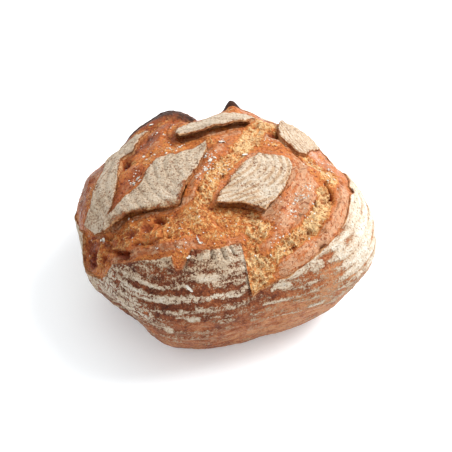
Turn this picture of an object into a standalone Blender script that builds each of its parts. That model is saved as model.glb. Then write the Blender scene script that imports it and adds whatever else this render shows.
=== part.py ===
"""Round country loaf as one solid: a domed body of bread, its open tears and its raised plates of crust.

A spot on the loaf is given by a bearing in degrees, from +X towards +Y at the loaf's back, and by a
level: 0 at the top, 1 at the girth and 2 at the edge of the flat base. Other sizes are in metres.
"""
import math

import bmesh
import bpy
import numpy as np

# Form of the whole loaf
MEAN_RADIUS = 0.120
LOAF_HEIGHT = 0.131
GIRTH_HEIGHT = 0.065
BASE_SHARE = 0.645
FOOT_POWER = 1.39
TOP_LEAN = (0.0034, 0.0045)
CENTRE_SHIFT = (-0.0044, -0.0026)
# Each lobe of the plan: order, share of the radius, bearing
PLAN_LOBES = (
    (1, 0.0025, 35),
    (2, 0.0100, -75),
    (3, 0.0366, -17.4),
    (4, 0.0277, -22.6),
    (5, 0.0197, -25.2),
    (6, 0.0109, 4.3),
)

# Broad swells and dips of the whole form: bearing, level, reach in level, height outward
SWELLS = (
    (143, 0.78, 0.15, -0.0092),
    (118, 0.56, 0.08, 0.0016),
    (111, 0.35, 0.09, -0.0024),
    (105, 0.67, 0.16, -0.0137),
    (100, 0.52, 0.10, -0.0065),
    (64, 0.67, 0.14, -0.0094),
    (63, 0.51, 0.10, -0.0046),
    (29, 0.68, 0.15, -0.0067),
    (192, 1.08, 0.15, -0.0120),
    (210, 1.24, 0.18, 0.0036),
    (229, 1.48, 0.26, -0.0118),
    (335, 1.09, 0.20, 0.0020),
    (150, 0.60, 0.07, -0.0015),
    (112, 0.42, 0.07, -0.0055),
)
SWELL_CENTRE_HEIGHT = 0.040

# Grid of the body
COLUMNS = 108
TEAR_ROWS = 17
FLANK_ROWS = 6
FOOT_ROWS = 11
LIP_HALF_WIDTH = 0.010
FLANK_END = 1.0
LEAST_FLANK = 0.14

# Relief of the body
TEAR_DEPTH = 0.0026
TEAR_CREST = 0.0024
TEAR_CREST_REACH = 0.014
LUMP_HEIGHT = 0.0011
SKIN_LUMP_SHARE = 0.3
LUMP_LENGTHS = (0.016, 0.044)
LUMP_COUNT = 26
LUMP_SEED = 7
RING_SPACING = 0.0104
RING_HEIGHT = 0.0004
FLAT_FROM_LEVEL = 1.72

# Plates of crust
PLATE_RISE = 0.0012
PLATE_SINK = 0.0075
PLATE_THICKNESS = 0.0026
PLATE_CELL = 0.0062
CURL_REACH = 0.013
FREE_LIFT = 0.0034
FREE_SLOPE = 1.6
FREE_OFFSET = 0.4
LEAST_CELLS_ALONG = 6
LEAST_CELLS_ACROSS = 4
VALLEY_REACH = 0.0085
VALLEY_SHARE = 1.25
RAGGED_SHARE = 0.006
RAGGED_LENGTHS = (0.05, 0.16)
RAGGED_COUNT = 9

# Fineness of what is worked out along edges and on the surface
EDGE_SAMPLES = 28
RIM_SAMPLES = 150
NORMAL_STEP = 0.004
MERGE_DISTANCE = 0.00002

# Finish
SHARP_ANGLE = 50
CRUST_COLOUR = (0.42, 0.19, 0.07)
CRUST_ROUGHNESS = 0.75

# Where the tears end and the whole skin of the flank starts, as bearing and level
SKIN_START = (
    (4, 0.65), (11, 0.71), (19, 0.78), (30, 0.86), (50, 0.88), (72, 0.87), (96, 0.88), (120, 0.86),
    (142, 0.80), (158, 0.86), (172, 0.92), (186, 0.94), (196, 0.97), (201, 1.10), (208, 1.13),
    (217, 1.00), (222, 0.90), (224, 0.80), (230, 0.73), (236, 0.67), (242, 0.62), (248, 0.57),
    (250, 0.64), (255, 0.65), (258, 0.56), (266, 0.54), (277, 0.54), (280, 0.60), (284, 0.78),
    (287, 0.86), (293, 0.82), (302, 0.76), (311, 0.71), (324, 0.65), (335, 0.63), (346, 0.61),
    (354, 0.625),
)

# Each plate has two long edges, read along its length, and what its first edge, second edge, start
# and end lift by, from one end of that edge to the other
PLATES = {
    "top": dict(
        first=((146, 0.25), (134, 0.28), (118, 0.295), (104, 0.36), (88, 0.38), (75, 0.40), (65, 0.35)),
        second=((148, 0.22), (140, 0.187), (125, 0.157), (107, 0.157), (90, 0.185), (78, 0.217), (66, 0.25)),
        lifts=((0.0, 0.0), (0.0048, 0.0036), (0.0, 0.0), (0.0, 0.0)),
    ),
    "centre_left": dict(
        first=((134, 0.10), (162, 0.126), (174, 0.18), (180, 0.29), (191, 0.33), (201, 0.38), (205, 0.50),
               (208, 0.66)),
        second=((150, 0.07), (182, 0.07), (224, 0.14), (233, 0.24), (240, 0.34), (229, 0.41), (216, 0.54),
                (214, 0.69)),
        lifts=((0.0, 0.0008), (0.0004, 0.0050), (0.0020, 0.0020), (0.0, 0.0)),
    ),
    "far_left": dict(
        first=((140, 0.455), (150, 0.46), (165, 0.44), (170, 0.49), (189, 0.48), (197, 0.515), (205, 0.585),
               (213, 0.67)),
        second=((141, 0.48), (148, 0.56), (160, 0.645), (174, 0.60), (185, 0.63), (194, 0.69), (199, 0.79),
                (208, 0.76)),
        lifts=((0.0008, 0.0010), (0.0010, 0.0010), (0.0, 0.0), (0.0, 0.0)),
    ),
    "centre_right": dict(
        first=((5, 0.153), (336, 0.111), (312, 0.118), (291, 0.156), (278, 0.194), (269, 0.25), (266, 0.316)),
        second=((358, 0.26), (357, 0.29), (350, 0.293), (334, 0.30), (320, 0.33), (309, 0.36), (299, 0.405)),
        lifts=((0.0, 0.0010), (0.0006, 0.0034), (0.0, 0.0), (0.0048, 0.0054)),
    ),
    "upper_right": dict(
        first=((54, 0.49), (52, 0.56), (47, 0.63), (42, 0.71), (37, 0.78)),
        second=((50, 0.42), (42, 0.35), (30, 0.325), (19, 0.33), (10, 0.355), (10, 0.41)),
        lifts=((0.0008, 0.0004), (0.0024, 0.0008), (0.0002, 0.0012), (0.0, 0.0)),
    ),
    "back_right": dict(
        first=((60, 0.60), (70, 0.50), (80, 0.475), (87, 0.465), (96, 0.465), (104, 0.52)),
        second=((56, 0.76), (66, 0.82), (80, 0.85), (90, 0.86), (98, 0.85), (106, 0.80)),
        lifts=((0.0008, 0.0010), (0.0, 0.0), (0.0, 0.0), (0.0, 0.0)),
    ),
    "back_left": dict(
        first=((109, 0.50), (117, 0.49), (126, 0.50), (136, 0.52), (147, 0.62)),
        second=((112, 0.80), (120, 0.84), (130, 0.84), (141, 0.80), (151, 0.80)),
        lifts=((0.0030, 0.0020), (0.0, 0.0), (0.0, 0.0), (0.0, 0.0)),
    ),
}

# Burnt points that stand up from the plates: bearing, level, radius, height
PEAKS = (
    (84, 0.500, 0.0054, 0.0085),
    (118, 0.49, 0.0120, 0.0030),
    (53, 0.49, 0.0044, 0.0024),
)

# Open cavities in the torn bread: bearing, level, radius, depth
HOLLOWS = (
    (338, 0.43, 0.0080, 0.0050),
    (329, 0.50, 0.0100, 0.0075),
    (346, 0.51, 0.0065, 0.0060),
    (316, 0.54, 0.0060, 0.0050),
    (39, 0.31, 0.0070, 0.0060),
    (174, 0.44, 0.0080, 0.0065),
    (231, 0.45, 0.0060, 0.0045),
    (208, 0.88, 0.0090, 0.0070),
    (216, 0.90, 0.0070, 0.0060),
    (204, 0.82, 0.0070, 0.0050),
    (212, 0.77, 0.0060, 0.0040),
    (180, 0.80, 0.0110, 0.0040),
    (316, 0.68, 0.0050, 0.0030),
)


def form(bearing, level):
    """Points of the smooth loaf: an elliptic dome over a foot that draws in to the base.

    The plan radius is the mean radius times one plus the lobes. Above the girth the share of it grows as
    the sine of the level's quarter turn and the height falls as the cosine. Below, both follow powers.
    Broad swells and dips, each a bell over the flat layout, then move points away from the middle.
    """
    radius = np.ones_like(bearing)
    for order, share, crest in PLAN_LOBES:
        radius = radius + share * np.cos(order * (bearing - math.radians(crest)))
    radius = radius * MEAN_RADIUS
    rise = np.clip(level, 0.0, 1.0) * math.pi / 2
    fall = np.clip(level - 1.0, 0.0, 1.0) * math.pi / 2
    upper_share = np.sin(rise)
    upper_height = GIRTH_HEIGHT + (LOAF_HEIGHT - GIRTH_HEIGHT) * np.cos(rise)
    lower_share = BASE_SHARE + (1.0 - BASE_SHARE) * np.clip(np.cos(fall), 0.0, 1.0) ** FOOT_POWER
    lower_height = GIRTH_HEIGHT * (1.0 - np.sin(fall) ** FOOT_POWER)
    above = level <= 1.0
    share = np.where(above, upper_share, lower_share) * radius
    height = np.where(above, upper_height, lower_height)
    lean = height / LOAF_HEIGHT
    x = share * np.cos(bearing) + TOP_LEAN[0] * lean + CENTRE_SHIFT[0]
    y = share * np.sin(bearing) + TOP_LEAN[1] * lean + CENTRE_SHIFT[1]
    points = np.stack([x, y, height], axis=-1)
    outward = points - (*CENTRE_SHIFT, SWELL_CENTRE_HEIGHT)
    outward /= np.linalg.norm(outward, axis=-1, keepdims=True)
    swell = np.zeros_like(height)
    for at_bearing, at_level, reach, high in SWELLS:
        turn = math.radians(at_bearing)
        gap = (level * np.cos(bearing) - at_level * math.cos(turn)) ** 2
        gap = gap + (level * np.sin(bearing) - at_level * math.sin(turn)) ** 2
        swell = swell + high * np.exp(-gap / reach**2)
    return points + outward * (swell * np.clip((2.0 - level) / (2.0 - FLAT_FROM_LEVEL), 0.0, 1.0))[..., None]


def surface(flat):
    """Points and outward normals for flat positions, a level away from the top in a bearing's direction."""
    def at(dx, dy):
        x = flat[..., 0] + dx
        y = flat[..., 1] + dy
        return form(np.arctan2(y, x), np.hypot(x, y))

    along_x = at(NORMAL_STEP, 0.0) - at(-NORMAL_STEP, 0.0)
    along_y = at(0.0, NORMAL_STEP) - at(0.0, -NORMAL_STEP)
    normal = np.cross(along_x, along_y)
    normal /= np.linalg.norm(normal, axis=-1, keepdims=True)
    return at(0.0, 0.0), normal


def flat_of(spots):
    """Flat positions of bearing and level pairs."""
    spots = np.asarray(spots, dtype=float)
    turn = np.radians(spots[..., 0])
    return np.stack([np.cos(turn), np.sin(turn)], axis=-1) * spots[..., 1:2]


def along_edge(spots, shares):
    """Positions at the given shares of an edge's length."""
    corners = flat_of(spots)
    run = np.concatenate([[0.0], np.cumsum(np.linalg.norm(np.diff(corners, axis=0), axis=1))])
    run /= run[-1]
    return np.stack([np.interp(shares, run, corners[:, k]) for k in range(2)], axis=-1)


def waves(points, lengths, count, seed):
    """Sum of seeded plane waves, about one in size."""
    rng = np.random.default_rng(seed)
    total = np.zeros(points.shape[:-1])
    for _ in range(count):
        direction = rng.normal(size=points.shape[-1])
        direction /= np.linalg.norm(direction)
        length = rng.uniform(*lengths)
        total += np.sin(points @ direction * 2 * math.pi / length + rng.uniform(0, 2 * math.pi))
    return total / math.sqrt(count / 2)


def ragged(flat):
    """Edge positions shifted a little each way, as torn crust is."""
    shift = [waves(flat, RAGGED_LENGTHS, RAGGED_COUNT, LUMP_SEED + side) for side in (1, 2)]
    return flat + RAGGED_SHARE * np.stack(shift, axis=-1)


def near(points, centre, reach):
    """One at a centre, falling to nothing over a reach."""
    return np.exp(-np.sum((points - centre) ** 2, axis=-1) / reach**2)


def spot_point(bearing, level):
    """Point of the smooth loaf at one spot."""
    return form(np.radians(np.array(float(bearing))), np.array(float(level)))


def lumps(points):
    """Uneven rise of the bread, about one in size."""
    return waves(points, LUMP_LENGTHS, LUMP_COUNT, LUMP_SEED)


def rings(points):
    """Fine ridges left by the proving basket, level with the ground."""
    return np.cos(2 * math.pi * points[..., 2] / RING_SPACING)


def crust_edges():
    """Points along every edge of crust with what it lifts by: each side of each plate, then the skin's."""
    spots = []
    shares = np.linspace(0.0, 1.0, EDGE_SAMPLES)
    for plate in PLATES.values():
        first = along_edge(plate["first"], shares)
        second = along_edge(plate["second"], shares)
        sides = (
            first,
            second,
            first[:1] + (second[:1] - first[:1]) * shares[:, None],
            first[-1:] + (second[-1:] - first[-1:]) * shares[:, None],
        )
        for side, (lift, end_lift) in zip(sides, plate["lifts"]):
            spots.append((surface(side)[0], lift + (end_lift - lift) * shares))
    around = along_edge(SKIN_START + SKIN_START[:1], np.linspace(0.0, 1.0, RIM_SAMPLES))
    spots.append((surface(around)[0], np.zeros(len(around))))
    return spots


def tear_relief(points):
    """Height of the torn bread over the smooth loaf: sunk by the crust's edges, fuller between them."""
    to_edge = np.full(points.shape[:-1], 1.0)
    valley = np.zeros(points.shape[:-1])
    for edge, lift in crust_edges():
        gap = np.linalg.norm(points[..., None, :] - edge, axis=-1)
        depth = lift * VALLEY_SHARE * np.exp(-((gap / VALLEY_REACH) ** 2))
        to_edge = np.minimum(to_edge, gap.min(axis=-1))
        valley = np.maximum(valley, depth.max(axis=-1))
    crest = TEAR_CREST * (1.0 - np.exp(-((to_edge / TEAR_CREST_REACH) ** 2)))
    return crest - TEAR_DEPTH - valley + LUMP_HEIGHT * lumps(points)


def skin_relief(points):
    """Height of whole skin over the smooth loaf: the basket's ridges on slight lumps."""
    return RING_HEIGHT * rings(points) + SKIN_LUMP_SHARE * LUMP_HEIGHT * lumps(points)


def body_grid():
    """Bearings and levels of the body's grid, with a close pair of rows where skin and tears meet."""
    bearing = np.arange(COLUMNS) * 2 * math.pi / COLUMNS
    corner_bearing = np.radians([b for b, _ in SKIN_START])
    corner_level = [level for _, level in SKIN_START]
    start = np.interp(bearing, corner_bearing, corner_level, period=2 * math.pi)
    end = np.maximum(FLANK_END, start + LEAST_FLANK)
    tears = np.linspace(0.0, 1.0, TEAR_ROWS + 1)[1:, None] * (start - LIP_HALF_WIDTH)
    flank = start + LIP_HALF_WIDTH + np.linspace(0.0, 1.0, FLANK_ROWS)[:, None] * (
        end - start - LIP_HALF_WIDTH
    )
    foot = end + np.linspace(0.0, 1.0, FOOT_ROWS + 1)[1:, None] * (2.0 - end)
    level = np.concatenate([tears, flank, foot])
    return np.broadcast_to(bearing, level.shape), level


def body_mesh():
    """Points and faces of the body: rows around the loaf, one point at the top, one face as the base."""
    bearing, level = body_grid()
    flat = np.stack([np.cos(bearing), np.sin(bearing)], axis=-1) * level[..., None]
    points, normal = surface(flat)
    relief = tear_relief(points)
    relief[TEAR_ROWS:] = skin_relief(points[TEAR_ROWS:])
    for at_bearing, at_level, reach, depth in HOLLOWS:
        relief -= depth * near(points, spot_point(at_bearing, at_level), reach)
    relief *= np.clip((2.0 - level) / (2.0 - FLAT_FROM_LEVEL), 0.0, 1.0)
    points = points + normal * relief[..., None]
    points[..., 2] = np.maximum(points[..., 2], 0.0)
    points[-1, :, 2] = 0.0
    rows = len(points)
    beside = np.roll(points, -1, axis=1)
    across = np.linalg.norm(beside[1:] - points[:-1], axis=-1)
    across_back = np.linalg.norm(beside[:-1] - points[1:], axis=-1)
    top = spot_point(0.0, 0.0)
    top[2] -= TEAR_DEPTH - TEAR_CREST
    verts = [tuple(top)] + [tuple(p) for p in points.reshape(-1, 3)]
    faces = []
    for column in range(COLUMNS):
        after = (column + 1) % COLUMNS
        faces.append((0, 1 + column, 1 + after))
        for row in range(rows - 1):
            a = 1 + row * COLUMNS + column
            b = a + COLUMNS
            c = 1 + (row + 1) * COLUMNS + after
            d = c - COLUMNS
            if across[row, column] < across_back[row, column]:
                faces += [(a, b, c), (a, c, d)]
            else:
                faces += [(a, b, d), (b, c, d)]
    last = 1 + (rows - 1) * COLUMNS
    faces.append(tuple(last + column for column in reversed(range(COLUMNS))))
    return verts, faces


def plate_mesh(plate):
    """Points and faces of one plate: a top skin and an underside joined around the edge.

    The top stands over the smooth loaf by the rise and by each side's lift, which fades inward. The
    underside is one thickness below it where the edge lifts and runs down into the body elsewhere.
    """
    long_way = surface(along_edge(plate["first"], np.linspace(0.0, 1.0, EDGE_SAMPLES)))[0]
    length = np.linalg.norm(np.diff(long_way, axis=0), axis=1).sum()
    wide = surface(along_edge(plate["second"], [0.5]))[0] - surface(along_edge(plate["first"], [0.5]))[0]
    along = max(LEAST_CELLS_ALONG, round(length / PLATE_CELL))
    across = max(LEAST_CELLS_ACROSS, round(float(np.linalg.norm(wide)) / PLATE_CELL))
    shares = np.linspace(0.0, 1.0, along + 1)
    first = ragged(along_edge(plate["first"], shares))[:, None]
    second = ragged(along_edge(plate["second"], shares))[:, None]
    sideways = np.linspace(0.0, 1.0, across + 1)[None, :, None]
    points, normal = surface(first + (second - first) * sideways)
    edges = (points[:, :1], points[:, -1:], points[:1], points[-1:])
    lift = np.zeros(points.shape[:2])
    free = np.zeros(points.shape[:2])
    runs = (shares[:, None], shares[:, None], sideways[..., 0], sideways[..., 0])
    for edge, run, (amount, end_amount) in zip(edges, runs, plate["lifts"]):
        fade = np.exp(-np.sum((points - edge) ** 2, axis=-1) / CURL_REACH**2)
        amount = amount + (end_amount - amount) * run
        lift = np.maximum(lift, amount * fade)
        free = np.maximum(free, np.minimum(amount / FREE_LIFT, 1.0) * fade)
    for at_bearing, at_level, reach, height in PEAKS:
        lift += height * near(points, spot_point(at_bearing, at_level), reach)
    high = PLATE_RISE + lift + skin_relief(points)
    free = np.clip(FREE_SLOPE * free - FREE_OFFSET, 0.0, 1.0)
    low = -PLATE_SINK * (1.0 - free) + (high - PLATE_THICKNESS) * free
    top = (points + normal * high[..., None]).reshape(-1, 3)
    under = (points + normal * low[..., None]).reshape(-1, 3)
    rows, columns = high.shape
    count = rows * columns
    faces = []
    for row in range(rows - 1):
        for column in range(columns - 1):
            a = row * columns + column
            b = a + columns
            faces.append((a, a + 1, b + 1, b))
            faces.append((count + a, count + b, count + b + 1, count + a + 1))
    ring = list(range(columns))
    ring += [row * columns + columns - 1 for row in range(1, rows)]
    ring += [(rows - 1) * columns + column for column in reversed(range(columns - 1))]
    ring += [row * columns for row in reversed(range(1, rows - 1))]
    for here, after in zip(ring, ring[1:] + ring[:1]):
        faces.append((here, count + here, count + after, after))
    return [tuple(p) for p in np.concatenate([top, under])], faces


def new_object(name, verts, faces):
    """Mesh object with its faces split to triangles and turned outward."""
    mesh = bpy.data.meshes.new(name)
    mesh.from_pydata(verts, [], faces)
    work = bmesh.new()
    work.from_mesh(mesh)
    bmesh.ops.triangulate(work, faces=work.faces[:])
    bmesh.ops.recalc_face_normals(work, faces=work.faces[:])
    work.to_mesh(mesh)
    work.free()
    ob = bpy.data.objects.new(name, mesh)
    bpy.context.scene.collection.objects.link(ob)
    return ob


def fuse(body, plates):
    """Join the plates to the body by one applied union."""
    group = bpy.data.collections.new("plates")
    for plate in plates:
        bpy.context.scene.collection.objects.unlink(plate)
        group.objects.link(plate)
    union = body.modifiers.new("fuse", "BOOLEAN")
    union.operation = "UNION"
    union.operand_type = "COLLECTION"
    union.collection = group
    union.solver = "EXACT"
    union.use_self = True
    graph = bpy.context.evaluated_depsgraph_get()
    fused = bpy.data.meshes.new_from_object(body.evaluated_get(graph))
    body.modifiers.clear()
    body.data = fused
    for plate in plates:
        bpy.data.objects.remove(plate)
    bpy.data.collections.remove(group)


def keep_outer_shell(ob):
    """Keep the shell with the most faces, which drops scraps and fills sealed hollows."""
    work = bmesh.new()
    work.from_mesh(ob.data)
    bmesh.ops.remove_doubles(work, verts=work.verts[:], dist=MERGE_DISTANCE)
    bmesh.ops.triangulate(work, faces=work.faces[:])
    left = set(work.faces)
    shells = []
    while left:
        shell = []
        todo = [left.pop()]
        while todo:
            face = todo.pop()
            shell.append(face)
            for edge in face.edges:
                beside = [other for other in edge.link_faces if other in left]
                if len(edge.link_faces) == 2 and beside:
                    left.remove(beside[0])
                    todo.append(beside[0])
        shells.append(shell)
    shells.sort(key=len)
    scraps = [face for shell in shells[:-1] for face in shell]
    bmesh.ops.delete(work, geom=scraps, context="FACES")
    work.to_mesh(ob.data)
    work.free()


def crust_material():
    """Baked crust."""
    material = bpy.data.materials.new("crust")
    material.use_nodes = True
    shader = material.node_tree.nodes["Principled BSDF"]
    shader.inputs["Base Color"].default_value = (*CRUST_COLOUR, 1.0)
    shader.inputs["Roughness"].default_value = CRUST_ROUGHNESS
    return material


def main():
    for ob in list(bpy.data.objects):
        bpy.data.objects.remove(ob)
    loaf = new_object("loaf", *body_mesh())
    plates = [new_object("plate_" + name, *plate_mesh(plate)) for name, plate in PLATES.items()]
    fuse(loaf, plates)
    keep_outer_shell(loaf)
    loaf.data.materials.clear()
    loaf.data.materials.append(crust_material())
    loaf.data.shade_smooth()
    loaf.data.set_sharp_from_angle(angle=math.radians(SHARP_ANGLE))


main()
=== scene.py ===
"""Round country loaf: torn golden bread between raised plates of floured crust, on a plain pale floor.

A spot on the loaf is given by a bearing in degrees, from +X towards +Y at the loaf's back, and by a
level: 0 at the top, 1 at the girth and 2 at the edge of the flat base. Laid out flat, a spot lies its
level away from the middle, in the direction of its bearing. Other sizes are in metres.
"""

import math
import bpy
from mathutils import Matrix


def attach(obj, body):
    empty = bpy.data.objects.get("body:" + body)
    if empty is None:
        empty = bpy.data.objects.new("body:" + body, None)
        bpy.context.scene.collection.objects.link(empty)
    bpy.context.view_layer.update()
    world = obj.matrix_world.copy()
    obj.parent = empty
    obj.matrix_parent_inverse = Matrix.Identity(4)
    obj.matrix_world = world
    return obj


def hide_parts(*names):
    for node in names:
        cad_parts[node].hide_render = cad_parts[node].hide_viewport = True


bl_info = {
    "name": "Round Loaf",
    "version": (1, 0, 0),
    "blender": (4, 5, 0),
    "location": "View3D > Sidebar > Round Loaf",
    "description": "Builds a round country loaf with torn scores and floured crust",
    "category": "Add Mesh",
}

import bpy
import numpy as np

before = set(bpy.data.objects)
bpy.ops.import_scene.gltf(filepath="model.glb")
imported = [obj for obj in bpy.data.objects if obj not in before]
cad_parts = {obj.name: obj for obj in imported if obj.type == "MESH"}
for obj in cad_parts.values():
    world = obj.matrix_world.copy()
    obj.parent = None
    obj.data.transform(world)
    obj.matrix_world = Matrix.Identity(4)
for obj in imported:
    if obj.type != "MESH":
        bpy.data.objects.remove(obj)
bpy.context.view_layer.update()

# Light on the loaf's lit side, against a white floor in even light
LIT_LEVEL = 1.75

# Floor and main light
FLOOR_HALF_SIDE = 6.0
KEY_SIZE = 0.80
KEY_PLACE = (0.74, 0.20, 0.90)
KEY_TARGET = (0.0, 0.0, 0.06)

# Form of the whole loaf
MEAN_RADIUS = 0.120
LOAF_HEIGHT = 0.131
GIRTH_HEIGHT = 0.065
BASE_SHARE = 0.645
FOOT_POWER = 1.39
TOP_LEAN = (0.0034, 0.0045)
CENTRE_SHIFT = (-0.0044, -0.0026)
MIDDLE = (*CENTRE_SHIFT, 0.036)
PLAN_LOBES = (
    (1, 0.0025, 35),
    (2, 0.01, -75),
    (3, 0.0366, -17.4),
    (4, 0.0277, -22.6),
    (5, 0.0197, -25.2),
    (6, 0.0109, 4.3),
)

# Length over the loaf that one level spans, about
LEVEL_ARC = 0.148

# Broad swells and dips of the whole form: bearing, level, reach in level, height outward
SWELLS = (
    (143, 0.78, 0.15, -0.0092),
    (118, 0.56, 0.08, 0.0016),
    (111, 0.35, 0.09, -0.0024),
    (105, 0.67, 0.16, -0.0137),
    (100, 0.52, 0.1, -0.0065),
    (64, 0.67, 0.14, -0.0094),
    (63, 0.51, 0.1, -0.0046),
    (29, 0.68, 0.15, -0.0067),
    (192, 1.08, 0.15, -0.012),
    (210, 1.24, 0.18, 0.0036),
    (229, 1.48, 0.26, -0.0118),
    (335, 1.09, 0.2, 0.002),
    (150, 0.6, 0.07, -0.0015),
    (112, 0.42, 0.07, -0.0055),
)
SWELL_CENTRE_HEIGHT = 0.04
FLAT_FROM_LEVEL = 1.72

# Ridges of the proving basket: circles around one spot, laid out flat
RING_CENTRE = (220, 0.07)
RING_CREST = 0.79

# Torn bread
TEAR_DEPTH = 0.001
TEAR_CREST = 0.0012
TEAR_CREST_REACH = 0.014
LUMP_HEIGHT = 0.0011
LUMP_LENGTHS = (0.016, 0.044)
LUMP_COUNT = 26
LUMP_SEED = 7
VALLEY_REACH = 0.0085
VALLEY_SHARE = 0.5
TUCK_DEPTH = 0.004
TUCK_WIDTH = 0.004
RIM_RISE_REACH = 0.009

# Sizes of the foam's cells, and how far from a spot the widest ones open
CELL_SIZE = 0.0054
SMALL_CELL_SIZE = 0.0025
WIDE_CELL_SIZE = 0.0105
WIDE_CELL_REACH = 0.016

# Where the tears end and the whole skin of the flank starts, as bearing and level
SKIN_START = (
    (3, 0.65), (10, 0.7), (18, 0.77), (30, 0.86), (50, 0.88), (72, 0.87), (96, 0.88), (120, 0.86),
    (142, 0.86), (158, 0.96), (172, 1.0), (184, 0.98), (192, 0.92), (197, 0.85), (200, 0.83), (201.6, 0.88),
    (202.4, 1.0), (203.2, 1.15), (206, 1.17), (214, 1.074), (220.5, 0.964), (223.2, 0.905), (224, 0.84),
    (224.6, 0.79), (227, 0.762), (232.5, 0.705), (239, 0.65), (243, 0.622), (247.5, 0.59),
    (248.7, 0.578), (250.3, 0.62), (252.5, 0.66), (254.8, 0.645), (255.6, 0.6), (256.4, 0.536),
    (264.5, 0.537), (269.5, 0.541), (273, 0.533), (278, 0.53), (280.2, 0.533), (280.9, 0.6),
    (281.3, 0.67), (281.7, 0.74), (282.2, 0.82), (283, 0.869), (286, 0.842), (291, 0.815),
    (295, 0.797), (298, 0.798), (303, 0.762), (309.5, 0.724), (313.6, 0.706), (315.5, 0.69),
    (317.5, 0.686), (323, 0.663), (330.5, 0.64), (335.5, 0.625), (341.5, 0.606), (349, 0.606),
    (353.5, 0.64), (356, 0.612),
)

# Each plate has two long edges, read along its length, and what its first edge, second edge, start
# and end lift by, from one end of that edge to the other
PLATES = {
    "top": dict(
        first=((146, 0.25), (134, 0.28), (118, 0.295), (104, 0.36), (88, 0.38), (75, 0.4), (65, 0.35)),
        second=((148, 0.22), (140, 0.187), (125, 0.157), (107, 0.157), (90, 0.185), (78, 0.217), (66, 0.25)),
        lifts=((0.0, 0.0), (0.0048, 0.0036), (0.0, 0.0), (0.0, 0.0)),
    ),
    "centre_left": dict(
        first=((134, 0.1), (162, 0.126), (174, 0.18), (180, 0.29), (191, 0.33), (201, 0.38), (205, 0.5),
               (208, 0.66)),
        second=((150, 0.07), (182, 0.07), (224, 0.14), (233, 0.24), (240, 0.34), (229, 0.41), (216, 0.54),
                (214, 0.69)),
        lifts=((0.0, 0.0008), (0.0004, 0.005), (0.002, 0.002), (0.0, 0.0)),
    ),
    "far_left": dict(
        first=((140, 0.455), (150, 0.46), (165, 0.44), (170, 0.49), (189, 0.48), (197, 0.515), (205, 0.585),
               (213, 0.67)),
        second=((141, 0.48), (148, 0.56), (160, 0.645), (174, 0.6), (185, 0.63), (194, 0.69), (199, 0.79),
                (208, 0.76)),
        lifts=((0.0008, 0.001), (0.001, 0.001), (0.0, 0.0), (0.0, 0.0)),
    ),
    "centre_right": dict(
        first=((5, 0.153), (336, 0.111), (312, 0.118), (291, 0.156), (278, 0.194), (269, 0.25), (266, 0.316)),
        second=((358, 0.26), (357, 0.29), (350, 0.293), (334, 0.3), (320, 0.33), (309, 0.36), (299, 0.405)),
        lifts=((0.0, 0.001), (0.0006, 0.0034), (0.0, 0.0), (0.0048, 0.0054)),
    ),
    "upper_right": dict(
        first=((54, 0.49), (52, 0.56), (47, 0.63), (42, 0.71), (37, 0.78)),
        second=((50, 0.42), (42, 0.35), (30, 0.325), (19, 0.33), (10, 0.355), (10, 0.41)),
        lifts=((0.0008, 0.0004), (0.0024, 0.0008), (0.0002, 0.0012), (0.0, 0.0)),
    ),
    "back_right": dict(
        first=((60, 0.6), (70, 0.5), (80, 0.475), (87, 0.465), (96, 0.465), (104, 0.52)),
        second=((56, 0.76), (66, 0.82), (80, 0.85), (90, 0.86), (98, 0.85), (106, 0.8)),
        lifts=((0.0008, 0.001), (0.0, 0.0), (0.0, 0.0), (0.0, 0.0)),
    ),
    "back_left": dict(
        first=((109, 0.5), (117, 0.49), (126, 0.5), (136, 0.52), (147, 0.62)),
        second=((112, 0.8), (120, 0.84), (130, 0.84), (141, 0.8), (151, 0.8)),
        lifts=((0.003, 0.002), (0.0, 0.0), (0.0, 0.0), (0.0, 0.0)),
    ),
}
RING_SPACINGS = {"centre_right": 0.0054, "upper_right": 0.0046}
RISING_RIMS = ("back_left", "back_right")
PLATE_RISE = 0.0007
PLATE_SINK = 0.0075
CURL_REACH = 0.013
FREE_LIFT = 0.0026
# How far the plates' edges waver, in level, and over what length
EDGE_WAVER = 0.0105
EDGE_WAVER_LENGTH = 0.0085

# Burnt points that stand up from the plates: bearing, level, radius, height
PEAKS = (
    (84, 0.5, 0.0054, 0.0085),
    (118, 0.49, 0.012, 0.003),
    (53, 0.49, 0.0044, 0.0024),
)

# Open cavities in the torn bread: bearing, level, radius, depth
HOLLOWS = (
    (337, 0.478, 0.0085, 0.003),
    (316, 0.572, 0.0024, 0.0042), (356, 0.572, 0.0024, 0.004), (2, 0.492, 0.003, 0.0016),
    (348, 0.434, 0.0032, 0.0022), (41, 0.322, 0.0046, 0.0056), (36, 0.352, 0.0036, 0.004),
    (246, 0.228, 0.0018, 0.0034), (228, 0.701, 0.004, 0.005), (217, 0.742, 0.003, 0.004),
    (176, 0.453, 0.006, 0.005), (231, 0.45, 0.0034, 0.006), (235, 0.446, 0.003, 0.005),
    (211, 0.888, 0.004, 0.005), (205, 1.078, 0.0034, 0.004), (317, 0.7, 0.0024, 0.004),
    (217, 0.838, 0.0032, 0.0045), (221, 0.815, 0.0028, 0.004), (218, 0.899, 0.0045, 0.003),
    (224, 0.724, 0.006, 0.004), (205, 0.86, 0.004, 0.0045), (180, 0.8, 0.011, 0.003),
    (316, 0.69, 0.004, 0.0025), (5, 0.03, 0.0022, 0.002), (248, 0.24, 0.0018, 0.0018),
    (208, 1.0, 0.006, 0.003), (206, 0.93, 0.0036, 0.006), (212, 0.95, 0.0042, 0.0065),
    (209, 1.04, 0.004, 0.005), (214, 0.72, 0.003, 0.003),
)

# Where the bread foams in wide cells: bearing, level
COARSE_FOAM = ((209, 0.88), (215, 0.8), (220, 0.7), (226, 0.6), (234, 0.52), (222, 0.58))

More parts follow.
